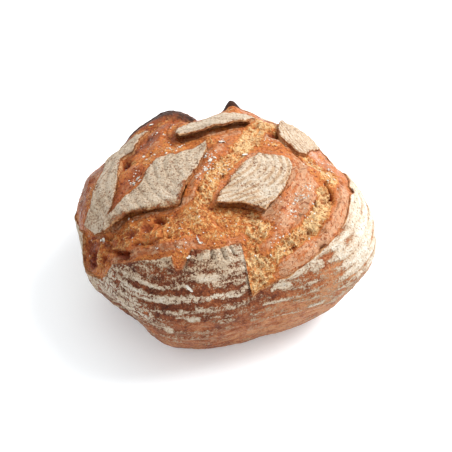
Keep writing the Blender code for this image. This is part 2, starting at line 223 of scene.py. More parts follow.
# Tone of the torn bread, from 0 for smooth red-brown to 1 for pale gold: path, half width, tone
TEAR_TONES = (
    # Golden tear from the top plate's end down between the two centre plates
    (((58, 0.4), (54, 0.27), (46, 0.19), (26, 0.11)), 0.0078, 0.92),
    (((10, 0.08), (306, 0.06), (270, 0.1)), 0.0056, 0.72),
    (((262, 0.13), (257, 0.2), (254, 0.27)), 0.0056, 0.66),
    (((69, 0.35), (74, 0.25), (72, 0.14), (64, 0.08)), 0.0048, 0.22),
    (((104, 0.05), (184, 0.05), (231, 0.12), (238, 0.21), (240, 0.3)), 0.0036, 0.12),
    (((18, 0.16), (341, 0.1), (303, 0.13), (274, 0.21), (266, 0.28)), 0.0028, 0.25),
    # Below the top plate
    (((146, 0.25), (134, 0.2), (115, 0.17), (92, 0.19)), 0.0028, 0.15),
    (((163, 0.24), (158, 0.16), (136, 0.11), (114, 0.08)), 0.0032, 0.45),
    # Between the ear, the far left plate and the centre left one
    (((108, 0.44), (116, 0.45), (127, 0.44), (140, 0.43)), 0.0032, 0.48),
    (((126, 0.38), (140, 0.37), (154, 0.38), (164, 0.4)), 0.0072, 0.22),
    (((174, 0.48), (178, 0.4), (179, 0.34)), 0.0028, 0.5),
    (((174, 0.32), (169, 0.26), (164, 0.21)), 0.0024, 0.42),
    (((188, 0.37), (193, 0.43), (199, 0.49), (204, 0.56)), 0.0064, 0.18),
    (((170, 0.67), (168, 0.81), (174, 0.82), (184, 0.83)), 0.006, 0.12),
    # Right of the centre right plate, on the lit side: the golden tones are set high and the red-brown ones
    # low so both come out paler, partly the bread's own colour and partly painted light and sheen
    (((40, 0.29), (28, 0.34), (16, 0.37), (356, 0.34), (336, 0.33), (320, 0.35), (308, 0.38), (299, 0.42)),
     0.0044, -0.04),
    (((340, 0.38), (328, 0.41), (316, 0.44), (306, 0.49)), 0.006, -0.02),
    (((40, 0.46), (28, 0.48), (16, 0.47), (8, 0.55)), 0.007, 0.14),
    (((29, 0.21), (19, 0.26), (12, 0.31)), 0.002, 0.5),
    (((12, 0.37), (5, 0.4), (0, 0.45), (355, 0.51)), 0.006, 0.88),
    (((341, 0.458), (337, 0.484), (330, 0.497), (326, 0.508)), 0.0046, 1.15),
    (((328, 0.5), (320, 0.53), (315, 0.55)), 0.0056, 1.0),
    (((356, 0.55), (348, 0.56), (340, 0.58), (333, 0.59), (325, 0.61), (318, 0.64), (310, 0.67), (299, 0.74)),
     0.0044, 0.0),
    (((330, 0.42), (320, 0.45), (312, 0.49), (304, 0.54), (297, 0.59), (292, 0.62)), 0.0052, 0.08),
    (((310, 0.56), (304, 0.6), (298, 0.62), (292, 0.66)), 0.0052, 0.92),
    (((288, 0.65), (290, 0.7), (287, 0.77), (284, 0.82)), 0.0072, 0.92),
    (((292, 0.42), (294, 0.46), (288, 0.51)), 0.0056, 0.9),
    # Front tear
    (((282, 0.39), (270, 0.36), (259, 0.36), (250, 0.38), (244, 0.39)), 0.0072, 0.49),
    (((241, 0.4), (235, 0.46), (230, 0.53), (226, 0.59), (219, 0.72)), 0.008, 0.42),
    (((278, 0.46), (266, 0.45), (255, 0.45), (246, 0.47), (240, 0.52)), 0.0056, 0.44),
    (((224, 0.77), (230, 0.69), (236, 0.62), (242, 0.57), (248, 0.53), (254, 0.5), (259, 0.49)),
     0.0032, 0.13),
    (((259, 0.5), (266, 0.5), (274, 0.5), (282, 0.51)), 0.0032, 0.25),
    (((212, 0.66), (215, 0.58), (219, 0.5), (225, 0.45), (232, 0.39), (240, 0.35)), 0.0032, 0.16),
    (((205, 0.86), (208, 0.92), (214, 0.94), (220, 0.86)), 0.008, 0.46),
    (((209, 0.77), (216, 0.74), (220, 0.68)), 0.0018, 0.14),
    (((210, 0.74), (216, 0.68), (222, 0.62), (226, 0.56)), 0.004, 0.5),
    (((253, 0.55), (254, 0.61)), 0.004, 0.35),
)
PLAIN_TONE = 0.38

# Flour on whole skin, from 0 for bare crust to 1 for a thick coat: path, half width, amount
FLOUR_STROKES = (
    # Front panel
    (((266, 0.55), (272, 0.55), (278, 0.55)), 0.004, 0.86),
    (((262, 0.61), (270, 0.62), (279, 0.61)), 0.0048, 0.74),
    (((261, 0.69), (268, 0.72), (274, 0.7), (280, 0.67)), 0.0032, 0.8),
    (((242, 0.62), (248, 0.63)), 0.0028, 0.86),
    (((228, 0.78), (237, 0.71), (246, 0.7), (254, 0.69)), 0.0048, 0.44),
    (((224, 0.82), (230, 0.8), (237, 0.79)), 0.0013, 0.8),
    (((244, 0.7), (250, 0.68)), 0.001, 0.7),
    (((224, 0.88), (232, 0.87), (244, 0.86), (252, 0.85), (259, 0.83), (273, 0.83), (278, 0.82), (281, 0.8)),
     0.002, 0.84),
    (((235, 0.8), (244, 0.81), (250, 0.8), (256, 0.78), (266, 0.78)), 0.0016, 0.08),
    (((250, 0.75), (259, 0.75)), 0.0008, 0.68),
    (((270, 0.74), (280, 0.73)), 0.002, 0.52),
    (((246, 0.9), (253, 0.89), (259, 0.88), (265, 0.88)), 0.0018, 0.12),
    (((264, 0.85), (272, 0.86), (280, 0.87)), 0.0014, 0.25),
    (((262, 0.9), (270, 0.91), (276, 0.91), (280, 0.91)), 0.0016, 0.66),
    (((252, 0.93), (258, 0.92)), 0.001, 0.66),
    (((256, 0.97), (263, 0.98)), 0.0016, 0.64),
    (((265, 0.96), (270, 0.99)), 0.0011, 0.5),
    # Lower left
    (((203, 1.26), (211, 1.29), (222, 1.18)), 0.0032, 0.9),
    (((221, 1.24), (234, 1.09), (244, 1.06)), 0.0048, 0.84),
    (((242, 1.09), (247, 1.15), (252, 1.2)), 0.0032, 0.74),
    # Below the right part's edge
    (((291, 0.85), (294, 0.85), (298, 0.85)), 0.0018, 0.85),
    (((283, 0.88), (290, 0.91)), 0.0008, 0.6),
    (((291, 0.96), (298, 0.99), (304, 1.05)), 0.0008, 0.56),
    (((290, 1.2), (297, 1.22), (304, 1.23)), 0.0009, 0.78),
    (((303, 0.75), (308, 0.74), (313, 0.74)), 0.0028, 0.8),
    (((298, 0.79), (302, 0.78)), 0.002, 0.8),
    (((303, 0.9), (306, 0.9)), 0.0021, 0.72),
    (((304, 0.82), (310, 0.84), (316, 0.83)), 0.004, 0.5),
    (((308, 1.19), (312, 1.2)), 0.002, 0.86),
    (((286, 0.86), (294, 0.91), (302, 0.94)), 0.002, 0.22),
    (((286, 0.98), (296, 1.09), (304, 1.15)), 0.0024, 0.14),
    # Right flank
    (((348, 0.64), (339, 0.74), (335, 0.85), (328, 0.9)), 0.008, 1.0),
    (((322, 0.7), (324, 0.8), (324, 0.89)), 0.0048, 0.95),
    (((330, 0.98), (325, 1.16), (320, 1.25)), 0.004, 0.6),
    (((316, 0.94), (312, 1.03)), 0.004, 0.34),
    # Towards the base
    (((226, 1.46), (239, 1.58), (254, 1.49)), 0.006, 0.3),
    (((263, 1.2), (274, 1.35), (289, 1.39)), 0.008, 0.22),
    (((296, 1.27), (304, 1.3), (313, 1.33)), 0.006, 0.16),
)

# Flour elsewhere on whole skin: bearing, level, amount
FLOUR_SPOTS = (
    (205, 1.15, 0.85), (212, 1.35, 0.4), (222, 1.05, 0.85), (228, 0.95, 0.8), (236, 0.98, 0.7),
    (246, 1.0, 0.4), (258, 1.05, 0.3), (246, 1.3, 0.4), (262, 1.1, 0.32), (275, 1.05, 0.34),
    (285, 1.1, 0.32), (300, 1.05, 0.42), (300, 1.35, 0.2), (312, 1.05, 0.44), (325, 1.02, 0.62),
    (304, 0.86, 0.46), (316, 1.22, 0.32), (292, 0.94, 0.44),
    (340, 0.9, 1.0), (345, 1.1, 0.8), (340, 1.35, 0.46), (355, 0.8, 1.0), (355, 1.15, 0.85),
    (330, 1.3, 0.34), (10, 0.9, 0.95), (20, 1.2, 0.75), (60, 1.0, 0.8), (90, 1.2, 0.5),
    (120, 1.0, 0.7), (150, 1.2, 0.55), (185, 1.12, 0.85), (196, 1.0, 0.85), (250, 1.55, 0.22),
    (275, 1.6, 0.16), (60, 1.5, 0.22), (150, 1.55, 0.22), (210, 1.65, 0.22), (330, 1.6, 0.16),
)
SPOT_REACH = 0.075

# How light the bare crust is: bearing, level, amount
TAN_SPOTS = (
    (250, 0.8, 0.0), (232, 0.9, 0.0), (270, 0.8, 0.05), (285, 0.95, 0.25), (292, 1.05, 0.72),
    (300, 0.85, 0.5), (310, 1.1, 0.85), (335, 0.9, 0.95), (0, 1.0, 0.95), (262, 1.2, 0.42),
    (280, 1.4, 0.65), (240, 1.3, 0.34), (225, 1.1, 0.1), (210, 1.2, 0.35), (300, 1.45, 0.85),
    (250, 1.55, 0.6), (90, 1.0, 0.5), (180, 1.2, 0.3),
)

# Where the coat of flour is thick enough to crack into small plates, and where the ridges' grooves show
CRACKED_FLOUR = (
    (((224, 0.93), (231, 1.05), (238, 1.07), (244, 1.05)), 0.009, 1.0),
    (((206, 1.22), (216, 1.18), (224, 1.1)), 0.007, 0.9),
    (((226, 0.87), (238, 0.865), (252, 0.85), (262, 0.83), (272, 0.83)), 0.0022, 0.4),
)
GROOVED_FLOUR = (
    (((320, 0.75), (335, 0.78), (350, 0.8), (10, 0.85), (40, 0.95)), 0.016, 1.0),
    (((322, 0.95), (335, 1.05), (350, 1.1), (20, 1.1)), 0.016, 1.0),
)

# Flour on the plates, and where it is greyer: path, half width, amount
PLATE_FLOUR = (
    (((233, 0.36), (240, 0.33), (232, 0.23)), 0.0024, 0.55),
    (((214, 0.6), (222, 0.5), (230, 0.42)), 0.0034, 0.5),
    (((120, 0.08), (150, 0.06)), 0.003, 0.5),
)
PLATE_SHADES = (
    (((213, 0.62), (221, 0.5), (229, 0.41), (238, 0.34)), 0.005, 0.9),
    (((196, 0.6), (200, 0.7)), 0.008, 0.5),
    (((160, 0.1), (190, 0.22), (210, 0.4)), 0.02, 0.35),
    (((290, 0.18), (275, 0.26), (300, 0.38)), 0.004, 0.4),
)

# Creases in the skin by the front tear, and strands raised on the torn bread: path, half width, height
SKIN_CREASES = (
    (((258, 0.545), (259.5, 0.587)), 0.0008, -0.0008),
    (((265, 0.538), (266, 0.587)), 0.0009, -0.0013),
    (((269.5, 0.538), (272, 0.606)), 0.0009, -0.0015),
    (((274, 0.535), (276.5, 0.598)), 0.0009, -0.0013),
    (((262, 0.56), (262.5, 0.6)), 0.002, 0.0008),
    (((267.5, 0.56), (268.5, 0.6)), 0.002, 0.001),
    (((272.5, 0.555), (274, 0.6)), 0.0018, 0.0009),
)
STRANDS = (
    (((213.5, 0.751), (215.5, 0.72), (218.5, 0.697), (219.5, 0.671)), 0.001, 0.0022),
    (((163, 0.419), (169.5, 0.354), (163.5, 0.316)), 0.0012, 0.001),
    (((104, 0.05), (184, 0.05), (231, 0.12), (238, 0.21)), 0.003, 0.0012),
    (((340, 0.55), (333, 0.57), (322, 0.595)), 0.002, 0.0016),
    (((188, 0.46), (196, 0.485), (204, 0.54), (210, 0.62)), 0.006, 0.0018),
    (((350, 0.46), (347, 0.48), (345, 0.498), (340, 0.514)), 0.001, -0.0044),
    (((330, 0.456), (328, 0.478), (330, 0.5)), 0.001, -0.0036),
    (((350, 0.53), (342, 0.545), (334, 0.556)), 0.0009, -0.002),
    (((317, 0.47), (313, 0.5), (307, 0.53)), 0.001, -0.0018),
    (((14, 0.33), (6, 0.355), (356, 0.37)), 0.0009, -0.0018),
    (((244, 0.5), (236, 0.56), (230, 0.62)), 0.0012, -0.0024),
    (((216, 0.79), (224, 0.72), (231, 0.66)), 0.0012, -0.0026),
    (((334, 0.42), (326, 0.44), (320, 0.48)), 0.0018, 0.001),
    (((128, 0.38), (136, 0.345), (148, 0.31)), 0.0011, -0.0018),
    (((150, 0.41), (158, 0.43), (168, 0.44)), 0.0011, -0.0022),
    (((170, 0.34), (176, 0.37), (184, 0.37)), 0.001, -0.0016),
    (((192, 0.37), (198, 0.44), (203, 0.52)), 0.0009, -0.0014),
    (((224, 0.74), (232, 0.66), (240, 0.58), (250, 0.51)), 0.0022, 0.001),
)

# Burnt places, and painted shade: strokes that darken the bread on its shaded left side, in its pockets and
# cavities and below lifted plate edges: path, half width, amount
BURNS_AND_SHADE = (
    (((108, 0.475), (113, 0.48), (119, 0.498), (126, 0.525), (131, 0.58)), 0.005, 0.95),
    (((122, 0.495), (130, 0.51), (136, 0.525), (142, 0.575), (147, 0.62)), 0.0042, 0.95),
    (((112, 0.44), (120, 0.45), (128, 0.455), (138, 0.465)), 0.0046, 0.6),
    # Painted shade: the bread darkened on the shaded left side
    (((126, 0.38), (140, 0.37), (154, 0.38), (164, 0.4)), 0.008, 0.34),
    (((150, 0.4), (160, 0.43), (170, 0.45)), 0.006, 0.45),
    (((170, 0.68), (175, 0.74), (182, 0.78), (190, 0.82)), 0.009, 0.5),
    (((188, 0.37), (193, 0.43), (199, 0.49), (205, 0.58)), 0.0064, 0.48),
    (((230, 0.56), (222, 0.66), (214, 0.76), (208, 0.86)), 0.01, 0.32),
    # Painted shade in the holes of the left end pocket
    (((205, 0.9), (208, 0.98), (206, 1.08)), 0.008, 0.36),
    (((226, 0.75), (236, 0.62), (248, 0.53), (259, 0.49)), 0.003, 0.36),
    (((262, 0.33), (250, 0.37), (240, 0.4)), 0.005, 0.2),
    # Painted shade below the top plate's lifted edge
    (((148, 0.26), (132, 0.21), (110, 0.175), (90, 0.195)), 0.0046, 0.42),
    (((310, 0.39), (296, 0.43), (280, 0.33)), 0.0036, 0.24),
    (((124, 0.32), (132, 0.3), (144, 0.286)), 0.0024, 0.5),
    (((81, 0.482), (84, 0.478), (87, 0.482)), 0.0024, 0.85),
    (((82, 0.505), (86, 0.505)), 0.0034, 1.0),
    (((60, 0.425), (61, 0.418)), 0.0014, 1.0),
    (((66, 0.51), (76, 0.485), (100, 0.48)), 0.0014, 0.45),
    (((52, 0.505), (54.5, 0.5)), 0.0016, 1.0),
    (((353.5, 0.636), (355, 0.634)), 0.0016, 0.8),
    # Painted shade in a cavity
    (((174, 0.46), (178, 0.45)), 0.0018, 0.6),
    (((128, 0.35), (118, 0.35)), 0.001, 0.3),
)

# Flour crumbs on the tears: bearing, level, spread in level, count
CRUMB_CLUSTERS = (
    (194, 0.385, 0.036, 12), (196, 0.415, 0.018, 7), (193, 0.324, 0.022, 7), (180, 0.36, 0.06, 14),
    (150, 0.34, 0.08, 22), (134, 0.476, 0.008, 3), (144, 0.328, 0.01, 4), (126, 0.3, 0.06, 8),
    (163, 0.22, 0.04, 14), (200, 0.05, 0.03, 24), (231, 0.073, 0.014, 16), (238, 0.122, 0.018, 18),
    (238, 0.168, 0.018, 12), (90, 0.076, 0.012, 10), (270, 0.12, 0.05, 22), (285, 0.1, 0.02, 10),
    (336, 0.396, 0.026, 18), (327, 0.404, 0.024, 18), (326, 0.381, 0.018, 10), (315, 0.431, 0.012, 12),
    (320, 0.44, 0.07, 30), (11, 0.549, 0.01, 4), (5, 0.526, 0.012, 6), (0, 0.47, 0.08, 26),
    (25, 0.3, 0.06, 12), (258, 0.484, 0.008, 5), (212, 0.754, 0.01, 6), (245, 0.42, 0.12, 24),
    (225, 0.56, 0.09, 14), (252, 0.52, 0.03, 10), (300, 0.55, 0.1, 24), (276, 0.44, 0.08, 14),
    (210, 0.84, 0.08, 8), (178, 0.8, 0.1, 26), (60, 0.66, 0.14, 30), (120, 0.62, 0.14, 30),
    (10, 0.56, 0.08, 12), (54, 0.47, 0.014, 10),
)

# Flour on the crumbs and flakes, more than a full coat
CRUMB_FLOUR = 1.6

# Loose flakes of floured skin: bearing, level, half length, half width, turn in degrees
FLAKES = (
    (258.5, 0.755, 0.0036, 0.0011, -52), (359, 0.098, 0.0026, 0.0009, 20), (212, 0.745, 0.002, 0.0013, 70),
    (211, 0.76, 0.0016, 0.001, 10), (231, 0.073, 0.0016, 0.0012, 40),
    (5, 0.526, 0.0014, 0.001, 30), (194, 0.385, 0.0015, 0.0009, 25), (196, 0.415, 0.0013, 0.0009, -20),
    (90, 0.076, 0.0019, 0.0013, 5), (260, 0.5, 0.0013, 0.0009, 0), (238, 0.122, 0.0014, 0.0009, 60),
    (172, 0.36, 0.0012, 0.0008, 10), (134, 0.476, 0.0014, 0.0012, 30), (256, 0.58, 0.0015, 0.0009, 40),
    (60, 0.62, 0.0018, 0.0012, 20), (150, 0.66, 0.0018, 0.0012, 50), (20, 0.62, 0.0016, 0.001, 0),
)


# Noise


def lattice(corner, seed):
    """Share from 0 to 1 for each whole-number corner, by mixing the bits of its numbers and a seed."""
    whole = corner.astype(np.int64).astype(np.uint64)
    mixed = whole[..., 0] * np.uint64(73856093) ^ whole[..., 1] * np.uint64(19349663)
    mixed = mixed ^ whole[..., 2] * np.uint64(83492791) ^ np.uint64(seed * 2654435761 % 2**32)
    mixed = (mixed ^ (mixed >> np.uint64(15))) * np.uint64(2246822519) & np.uint64(0xFFFFFFFF)
    mixed = (mixed ^ (mixed >> np.uint64(13))) * np.uint64(3266489917) & np.uint64(0xFFFFFFFF)
    return ((mixed ^ (mixed >> np.uint64(16))) & np.uint64(0xFFFFFF)).astype(float) / 0xFFFFFF


def noise(points, size, seed):
    """Smooth value noise from -1 to 1: corner values blended by a fifth-power ease along each axis."""
    spot = points / size
    low = np.floor(spot)
    part = spot - low
    part = part**3 * (part * (part * 6 - 15) + 10)
    total = 0.0
    for step in np.ndindex(2, 2, 2):
        weight = np.prod(np.where(np.array(step) == 1, part, 1 - part), axis=-1)
        total = total + weight * lattice(low + step, seed)
    return 2 * total - 1


def noise_vector(points, size, seed):
    """Noise for each of three directions."""
    return np.stack([noise(points, size, seed + k) for k in range(3)], axis=-1)


def layered(points, size, seed, layers=3, gain=0.55):
    """Noise at halving sizes, each layer smaller by the gain."""
    total = 0.0
    scale = 0.0
    for layer in range(layers):
        total = total + gain**layer * noise(points, size / 2**layer, seed + layer)
        scale += gain**layer
    return total / scale


def cells(points, size, seed):
    """Distances, as shares of the size, to the nearest and next of seeds scattered one to a cube."""
    spot = points / size
    base = np.floor(spot)
    first = np.full(points.shape[:-1], 9.0)
    second = first.copy()
    for step in np.ndindex(3, 3, 3):
        corner = base + step - 1
        seeds = corner + np.stack([lattice(corner, seed + k) for k in range(3)], axis=-1)
        gap = np.linalg.norm(seeds - spot, axis=-1)
        second = np.minimum(second, np.maximum(first, gap))
        first = np.minimum(first, gap)
    return first, second


def ease(low, high, value):
    """0 below low, 1 above high, eased between them."""
    share = np.clip((value - low) / (high - low), 0.0, 1.0)
    return share * share * (3 - 2 * share)


def bell(value, reach):
    """One where a value is nothing, falling as a bell over a reach."""
    return np.exp(-((value / reach) ** 2))


def unit(vectors):
    """Vectors brought to a length of one."""
    return vectors / np.linalg.norm(vectors, axis=-1, keepdims=True)


# Form


def above_base(level):
    """One down to the level from which the form draws flat, then falling evenly to nothing at the base."""
    return np.clip((2.0 - level) / (2.0 - FLAT_FROM_LEVEL), 0.0, 1.0)


def form(bearing, level):
    """Points of the smooth loaf: an elliptic dome over a foot that draws in to the base.

    The plan radius is the mean radius times one plus the lobes. Above the girth the share of it grows as
    the sine of the level's quarter turn and the height falls as the cosine. Below, both follow powers.
    Broad swells and dips, each a bell over the flat layout, then move points away from the middle.
    """
    radius = np.ones_like(bearing)
    for order, share, crest in PLAN_LOBES:
        radius = radius + share * np.cos(order * (bearing - math.radians(crest)))
    radius = radius * MEAN_RADIUS
    rise = np.clip(level, 0.0, 1.0) * math.pi / 2
    fall = np.clip(level - 1.0, 0.0, 1.0) * math.pi / 2
    upper_height = GIRTH_HEIGHT + (LOAF_HEIGHT - GIRTH_HEIGHT) * np.cos(rise)
    lower_share = BASE_SHARE + (1.0 - BASE_SHARE) * np.clip(np.cos(fall), 0.0, 1.0) ** FOOT_POWER
    lower_height = GIRTH_HEIGHT * (1.0 - np.sin(fall) ** FOOT_POWER)
    above = level <= 1.0
    share = np.where(above, np.sin(rise), lower_share) * radius
    height = np.where(above, upper_height, lower_height)
    lean = height / LOAF_HEIGHT
    x = share * np.cos(bearing) + TOP_LEAN[0] * lean + CENTRE_SHIFT[0]
    y = share * np.sin(bearing) + TOP_LEAN[1] * lean + CENTRE_SHIFT[1]
    points = np.stack([x, y, height], axis=-1)
    outward = unit(points - (*CENTRE_SHIFT, SWELL_CENTRE_HEIGHT))
    swell = np.zeros_like(height)
    for at_bearing, at_level, reach, high in SWELLS:
        turn = math.radians(at_bearing)
        gap = (level * np.cos(bearing) - at_level * math.cos(turn)) ** 2
        gap = gap + (level * np.sin(bearing) - at_level * math.sin(turn)) ** 2
        swell = swell + high * np.exp(-gap / reach**2)
    return points + outward * (swell * above_base(level))[..., None]


def surface(flat):
    """Points and outward normals for flat positions, the normal from differences over a small step."""
    step = 0.004

    def at(dx, dy):
        x = flat[..., 0] + dx
        y = flat[..., 1] + dy
        return form(np.arctan2(y, x), np.hypot(x, y))

    along_x = at(step, 0.0) - at(-step, 0.0)
    along_y = at(0.0, step) - at(0.0, -step)
    return at(0.0, 0.0), unit(np.cross(along_x, along_y))


def flat_at(turn, level):
    """Flat positions of bearings in radians and levels."""
    return np.stack([np.cos(turn), np.sin(turn)], axis=-1) * level[..., None]


def flat_of(spots):
    """Flat positions of bearing and level pairs."""
    spots = np.asarray(spots, dtype=float)
    return flat_at(np.radians(spots[..., 0]), spots[..., 1])


def along_edge(spots, shares):
    """Positions at the given shares of an edge's length."""
    corners = flat_of(spots)
    run = np.concatenate([[0.0], np.cumsum(np.linalg.norm(np.diff(corners, axis=0), axis=1))])
    run /= run[-1]
    return np.stack([np.interp(shares, run, corners[:, k]) for k in range(2)], axis=-1)


def near(points, centre, reach):
    """One at a centre, falling to nothing over a reach."""
    return np.exp(-np.sum((points - centre) ** 2, axis=-1) / reach**2)


def spot_point(bearing, level):
    """Point of the smooth loaf at one spot."""
    return form(np.radians(np.array(float(bearing))), np.array(float(level)))


def lumps(points):
    """Uneven rise of the bread, a sum of seeded plane waves about one in size."""
    rng = np.random.default_rng(LUMP_SEED)
    total = np.zeros(points.shape[:-1])
    for _ in range(LUMP_COUNT):
        direction = rng.normal(size=3)
        direction /= np.linalg.norm(direction)
        length = rng.uniform(*LUMP_LENGTHS)
        total += np.sin(points @ direction * 2 * math.pi / length + rng.uniform(0, 2 * math.pi))
    return total / math.sqrt(LUMP_COUNT / 2)


def blend_spots(flat, spots):
    """Amount at flat positions: the mean of the spots' amounts, weighed by nearness."""
    places = flat_of([spot[:2] for spot in spots])
    total = np.zeros(flat.shape[:-1])
    weights = np.full(flat.shape[:-1], 1e-9)
    for place, (_, _, amount) in zip(places, spots):
        weight = 1.0 / (1e-5 + (np.sum((flat - place) ** 2, axis=-1) / SPOT_REACH**2) ** 2)
        total += weight * amount
        weights += weight
    return total / weights


def stroke_weights(points, strokes, steepness):
    """For each stroke the points close to it and their nearness: one on its path, fading past its width."""
    for path, width, amount in strokes:
        flat = flat_of(path)
        length = LEVEL_ARC * np.linalg.norm(np.diff(flat, axis=0), axis=1).sum()
        spots = surface(along_edge(path, np.linspace(0.0, 1.0, int(length / (0.5 * width)) + 2)))[0]
        reach = 2.2 * width
        close = np.all((points > spots.min(axis=0) - reach) & (points < spots.max(axis=0) + reach), axis=-1)
        near_by = points[close]
        gap = np.full(len(near_by), 9.0)
        for spot in spots:
            gap = np.minimum(gap, np.sum((near_by - spot) ** 2, axis=-1))
        yield close, np.exp(-((np.sqrt(gap) / width) ** steepness)), width, amount


def blend_strokes(points, strokes, rest):
    """Amount at points: the strokes' amounts weighed by nearness, narrow ones more, over what is there."""
    weights = np.full(points.shape[:-1], 0.12)
    total = weights * rest
    for close, weight, width, amount in stroke_weights(points, strokes, 3.0):
        weight = weight * 0.004 / width
        total[close] += weight * amount
        weights[close] += weight
    return total / weights


def add_strokes(points, strokes):
    """Sum of the strokes' amounts, each fading with distance from its path."""
    total = np.zeros(points.shape[:-1])
    for close, weight, _, amount in stroke_weights(points, strokes, 2.0):
        total[close] += weight * amount
    return total


def arc_of(level):
    """Length over the loaf from its top to a level, at the mean radius."""
    levels = np.linspace(0.0, 2.0, 400)
    points = form(np.zeros_like(levels), levels)
    run = np.concatenate([[0.0], np.cumsum(np.linalg.norm(np.diff(points, axis=0), axis=1))])
    return np.interp(level, levels, run)


def ring_groove(flat, spacing):
    """Grooves between the basket's ridges, from 0 on a ridge to 1, and a slower wave with its crest on one.

    A ridge lies wherever the distance from the rings' centre, with a little waver, is a whole number of
    spacings off the known crest.
    """
    away = np.linalg.norm(flat - flat_of(RING_CENTRE), axis=-1)
    place = np.concatenate([flat, np.zeros(flat.shape[:-1] + (1,))], axis=-1)
    turn = (arc_of(away) - arc_of(RING_CREST)) / spacing + 0.14 * noise(place, 0.23, 51)
    off = 0.5 - np.abs(turn - np.round(turn))
    broken = ease(-0.55, 0.15, noise(place, 0.085, 53))
    return bell(off, 0.085) * broken, np.cos(2 * math.pi * turn)


def skin_start(bearing):
    """Level at which whole skin starts at a bearing, with a torn edge's fine unevenness."""
    corner_bearing = np.radians([b for b, _ in SKIN_START])
    start = np.interp(bearing, corner_bearing, [v for _, v in SKIN_START], period=2 * math.pi)
    around = np.stack([np.cos(bearing), np.sin(bearing), np.zeros_like(bearing)], axis=-1)
    return start + 0.0075 * layered(around, 0.075, 61, 4, 0.6)


def crust_edges():
    """Points along every edge of crust with what it lifts by: each side of each plate, then the skin's."""
    spots = []
    shares = np.linspace(0.0, 1.0, 28)
    for plate in PLATES.values():
        first = along_edge(plate["first"], shares)
        second = along_edge(plate["second"], shares)
        sides = (
            first,
            second,
            first[:1] + (second[:1] - first[:1]) * shares[:, None],
            first[-1:] + (second[-1:] - first[-1:]) * shares[:, None],
        )
        for side, (lift, end_lift) in zip(sides, plate["lifts"]):
            spots.append((surface(side)[0], lift + (end_lift - lift) * shares))
    bearing = np.linspace(0.0, 2 * math.pi, 721)
    level = skin_start(bearing)
    spots.append((surface(flat_at(bearing, level))[0], np.zeros(len(level))))
    return spots


class FlatField:
    """Values worked out once on a square grid over the flat layout and read between its points."""

    REACH = 1.35
    STEPS = 270

    def __init__(self, *layers):
        self.layers = layers

    @classmethod
    def grid(cls):
        side = np.linspace(-cls.REACH, cls.REACH, cls.STEPS)
        return np.stack(np.meshgrid(side, side, indexing="ij"), axis=-1)

    def read(self, flat):
        """Each layer at flat positions, blended in straight lines between the four points around."""
        spot = (np.clip(flat, -self.REACH, self.REACH) + self.REACH) / (2 * self.REACH) * (self.STEPS - 1)
        low = np.clip(np.floor(spot).astype(int), 0, self.STEPS - 2)
        part = spot - low
        i, j = low[..., 0], low[..., 1]
        a, b = part[..., 0], part[..., 1]
        return [
            layer[i, j] * (1 - a) * (1 - b)
            + layer[i + 1, j] * a * (1 - b)
            + layer[i, j + 1] * (1 - a) * b
            + layer[i + 1, j + 1] * a * b
            for layer in self.layers
        ]


def rim_run(name):
    """Points along the first edge of a plate that the bread rises to meet, and their heights."""
    plate = PLATES[name]
    shares = np.linspace(0.0, 1.0, 60)
    points = surface(along_edge(plate["first"], shares))[0]
    lift, end_lift = plate["lifts"][0]
    return points, PLATE_RISE - 0.0003 + lift + (end_lift - lift) * shares + bells_at(points, PEAKS)


def bells_at(points, table):
    """Sum of bells, each given by its bearing, level, reach and height."""
    total = np.zeros(points.shape[:-1])
    for bearing, level, reach, high in table:
        total += high * near(points, spot_point(bearing, level), reach)
    return total


def inside(flat, plate):
    """Whether flat positions lie within a plate's outline, by how often a line from each crosses it."""
    outline = flat_of(plate["first"] + plate["second"][::-1])
    within = np.zeros(flat.shape[:-1], dtype=bool)
    for a, b in zip(outline, np.roll(outline, -1, axis=0)):
        between = (a[1] > flat[..., 1]) != (b[1] > flat[..., 1])
        slope = (b[0] - a[0]) / (b[1] - a[1] + 1e-12)
        within ^= between & (flat[..., 0] < a[0] + (flat[..., 1] - a[1]) * slope)
    return within


def squared_gaps(points, spots):
    """Squared distance from each point to each spot."""
    return np.sum(points**2, axis=1)[:, None] + np.sum(spots**2, axis=1) - 2 * points @ spots.T


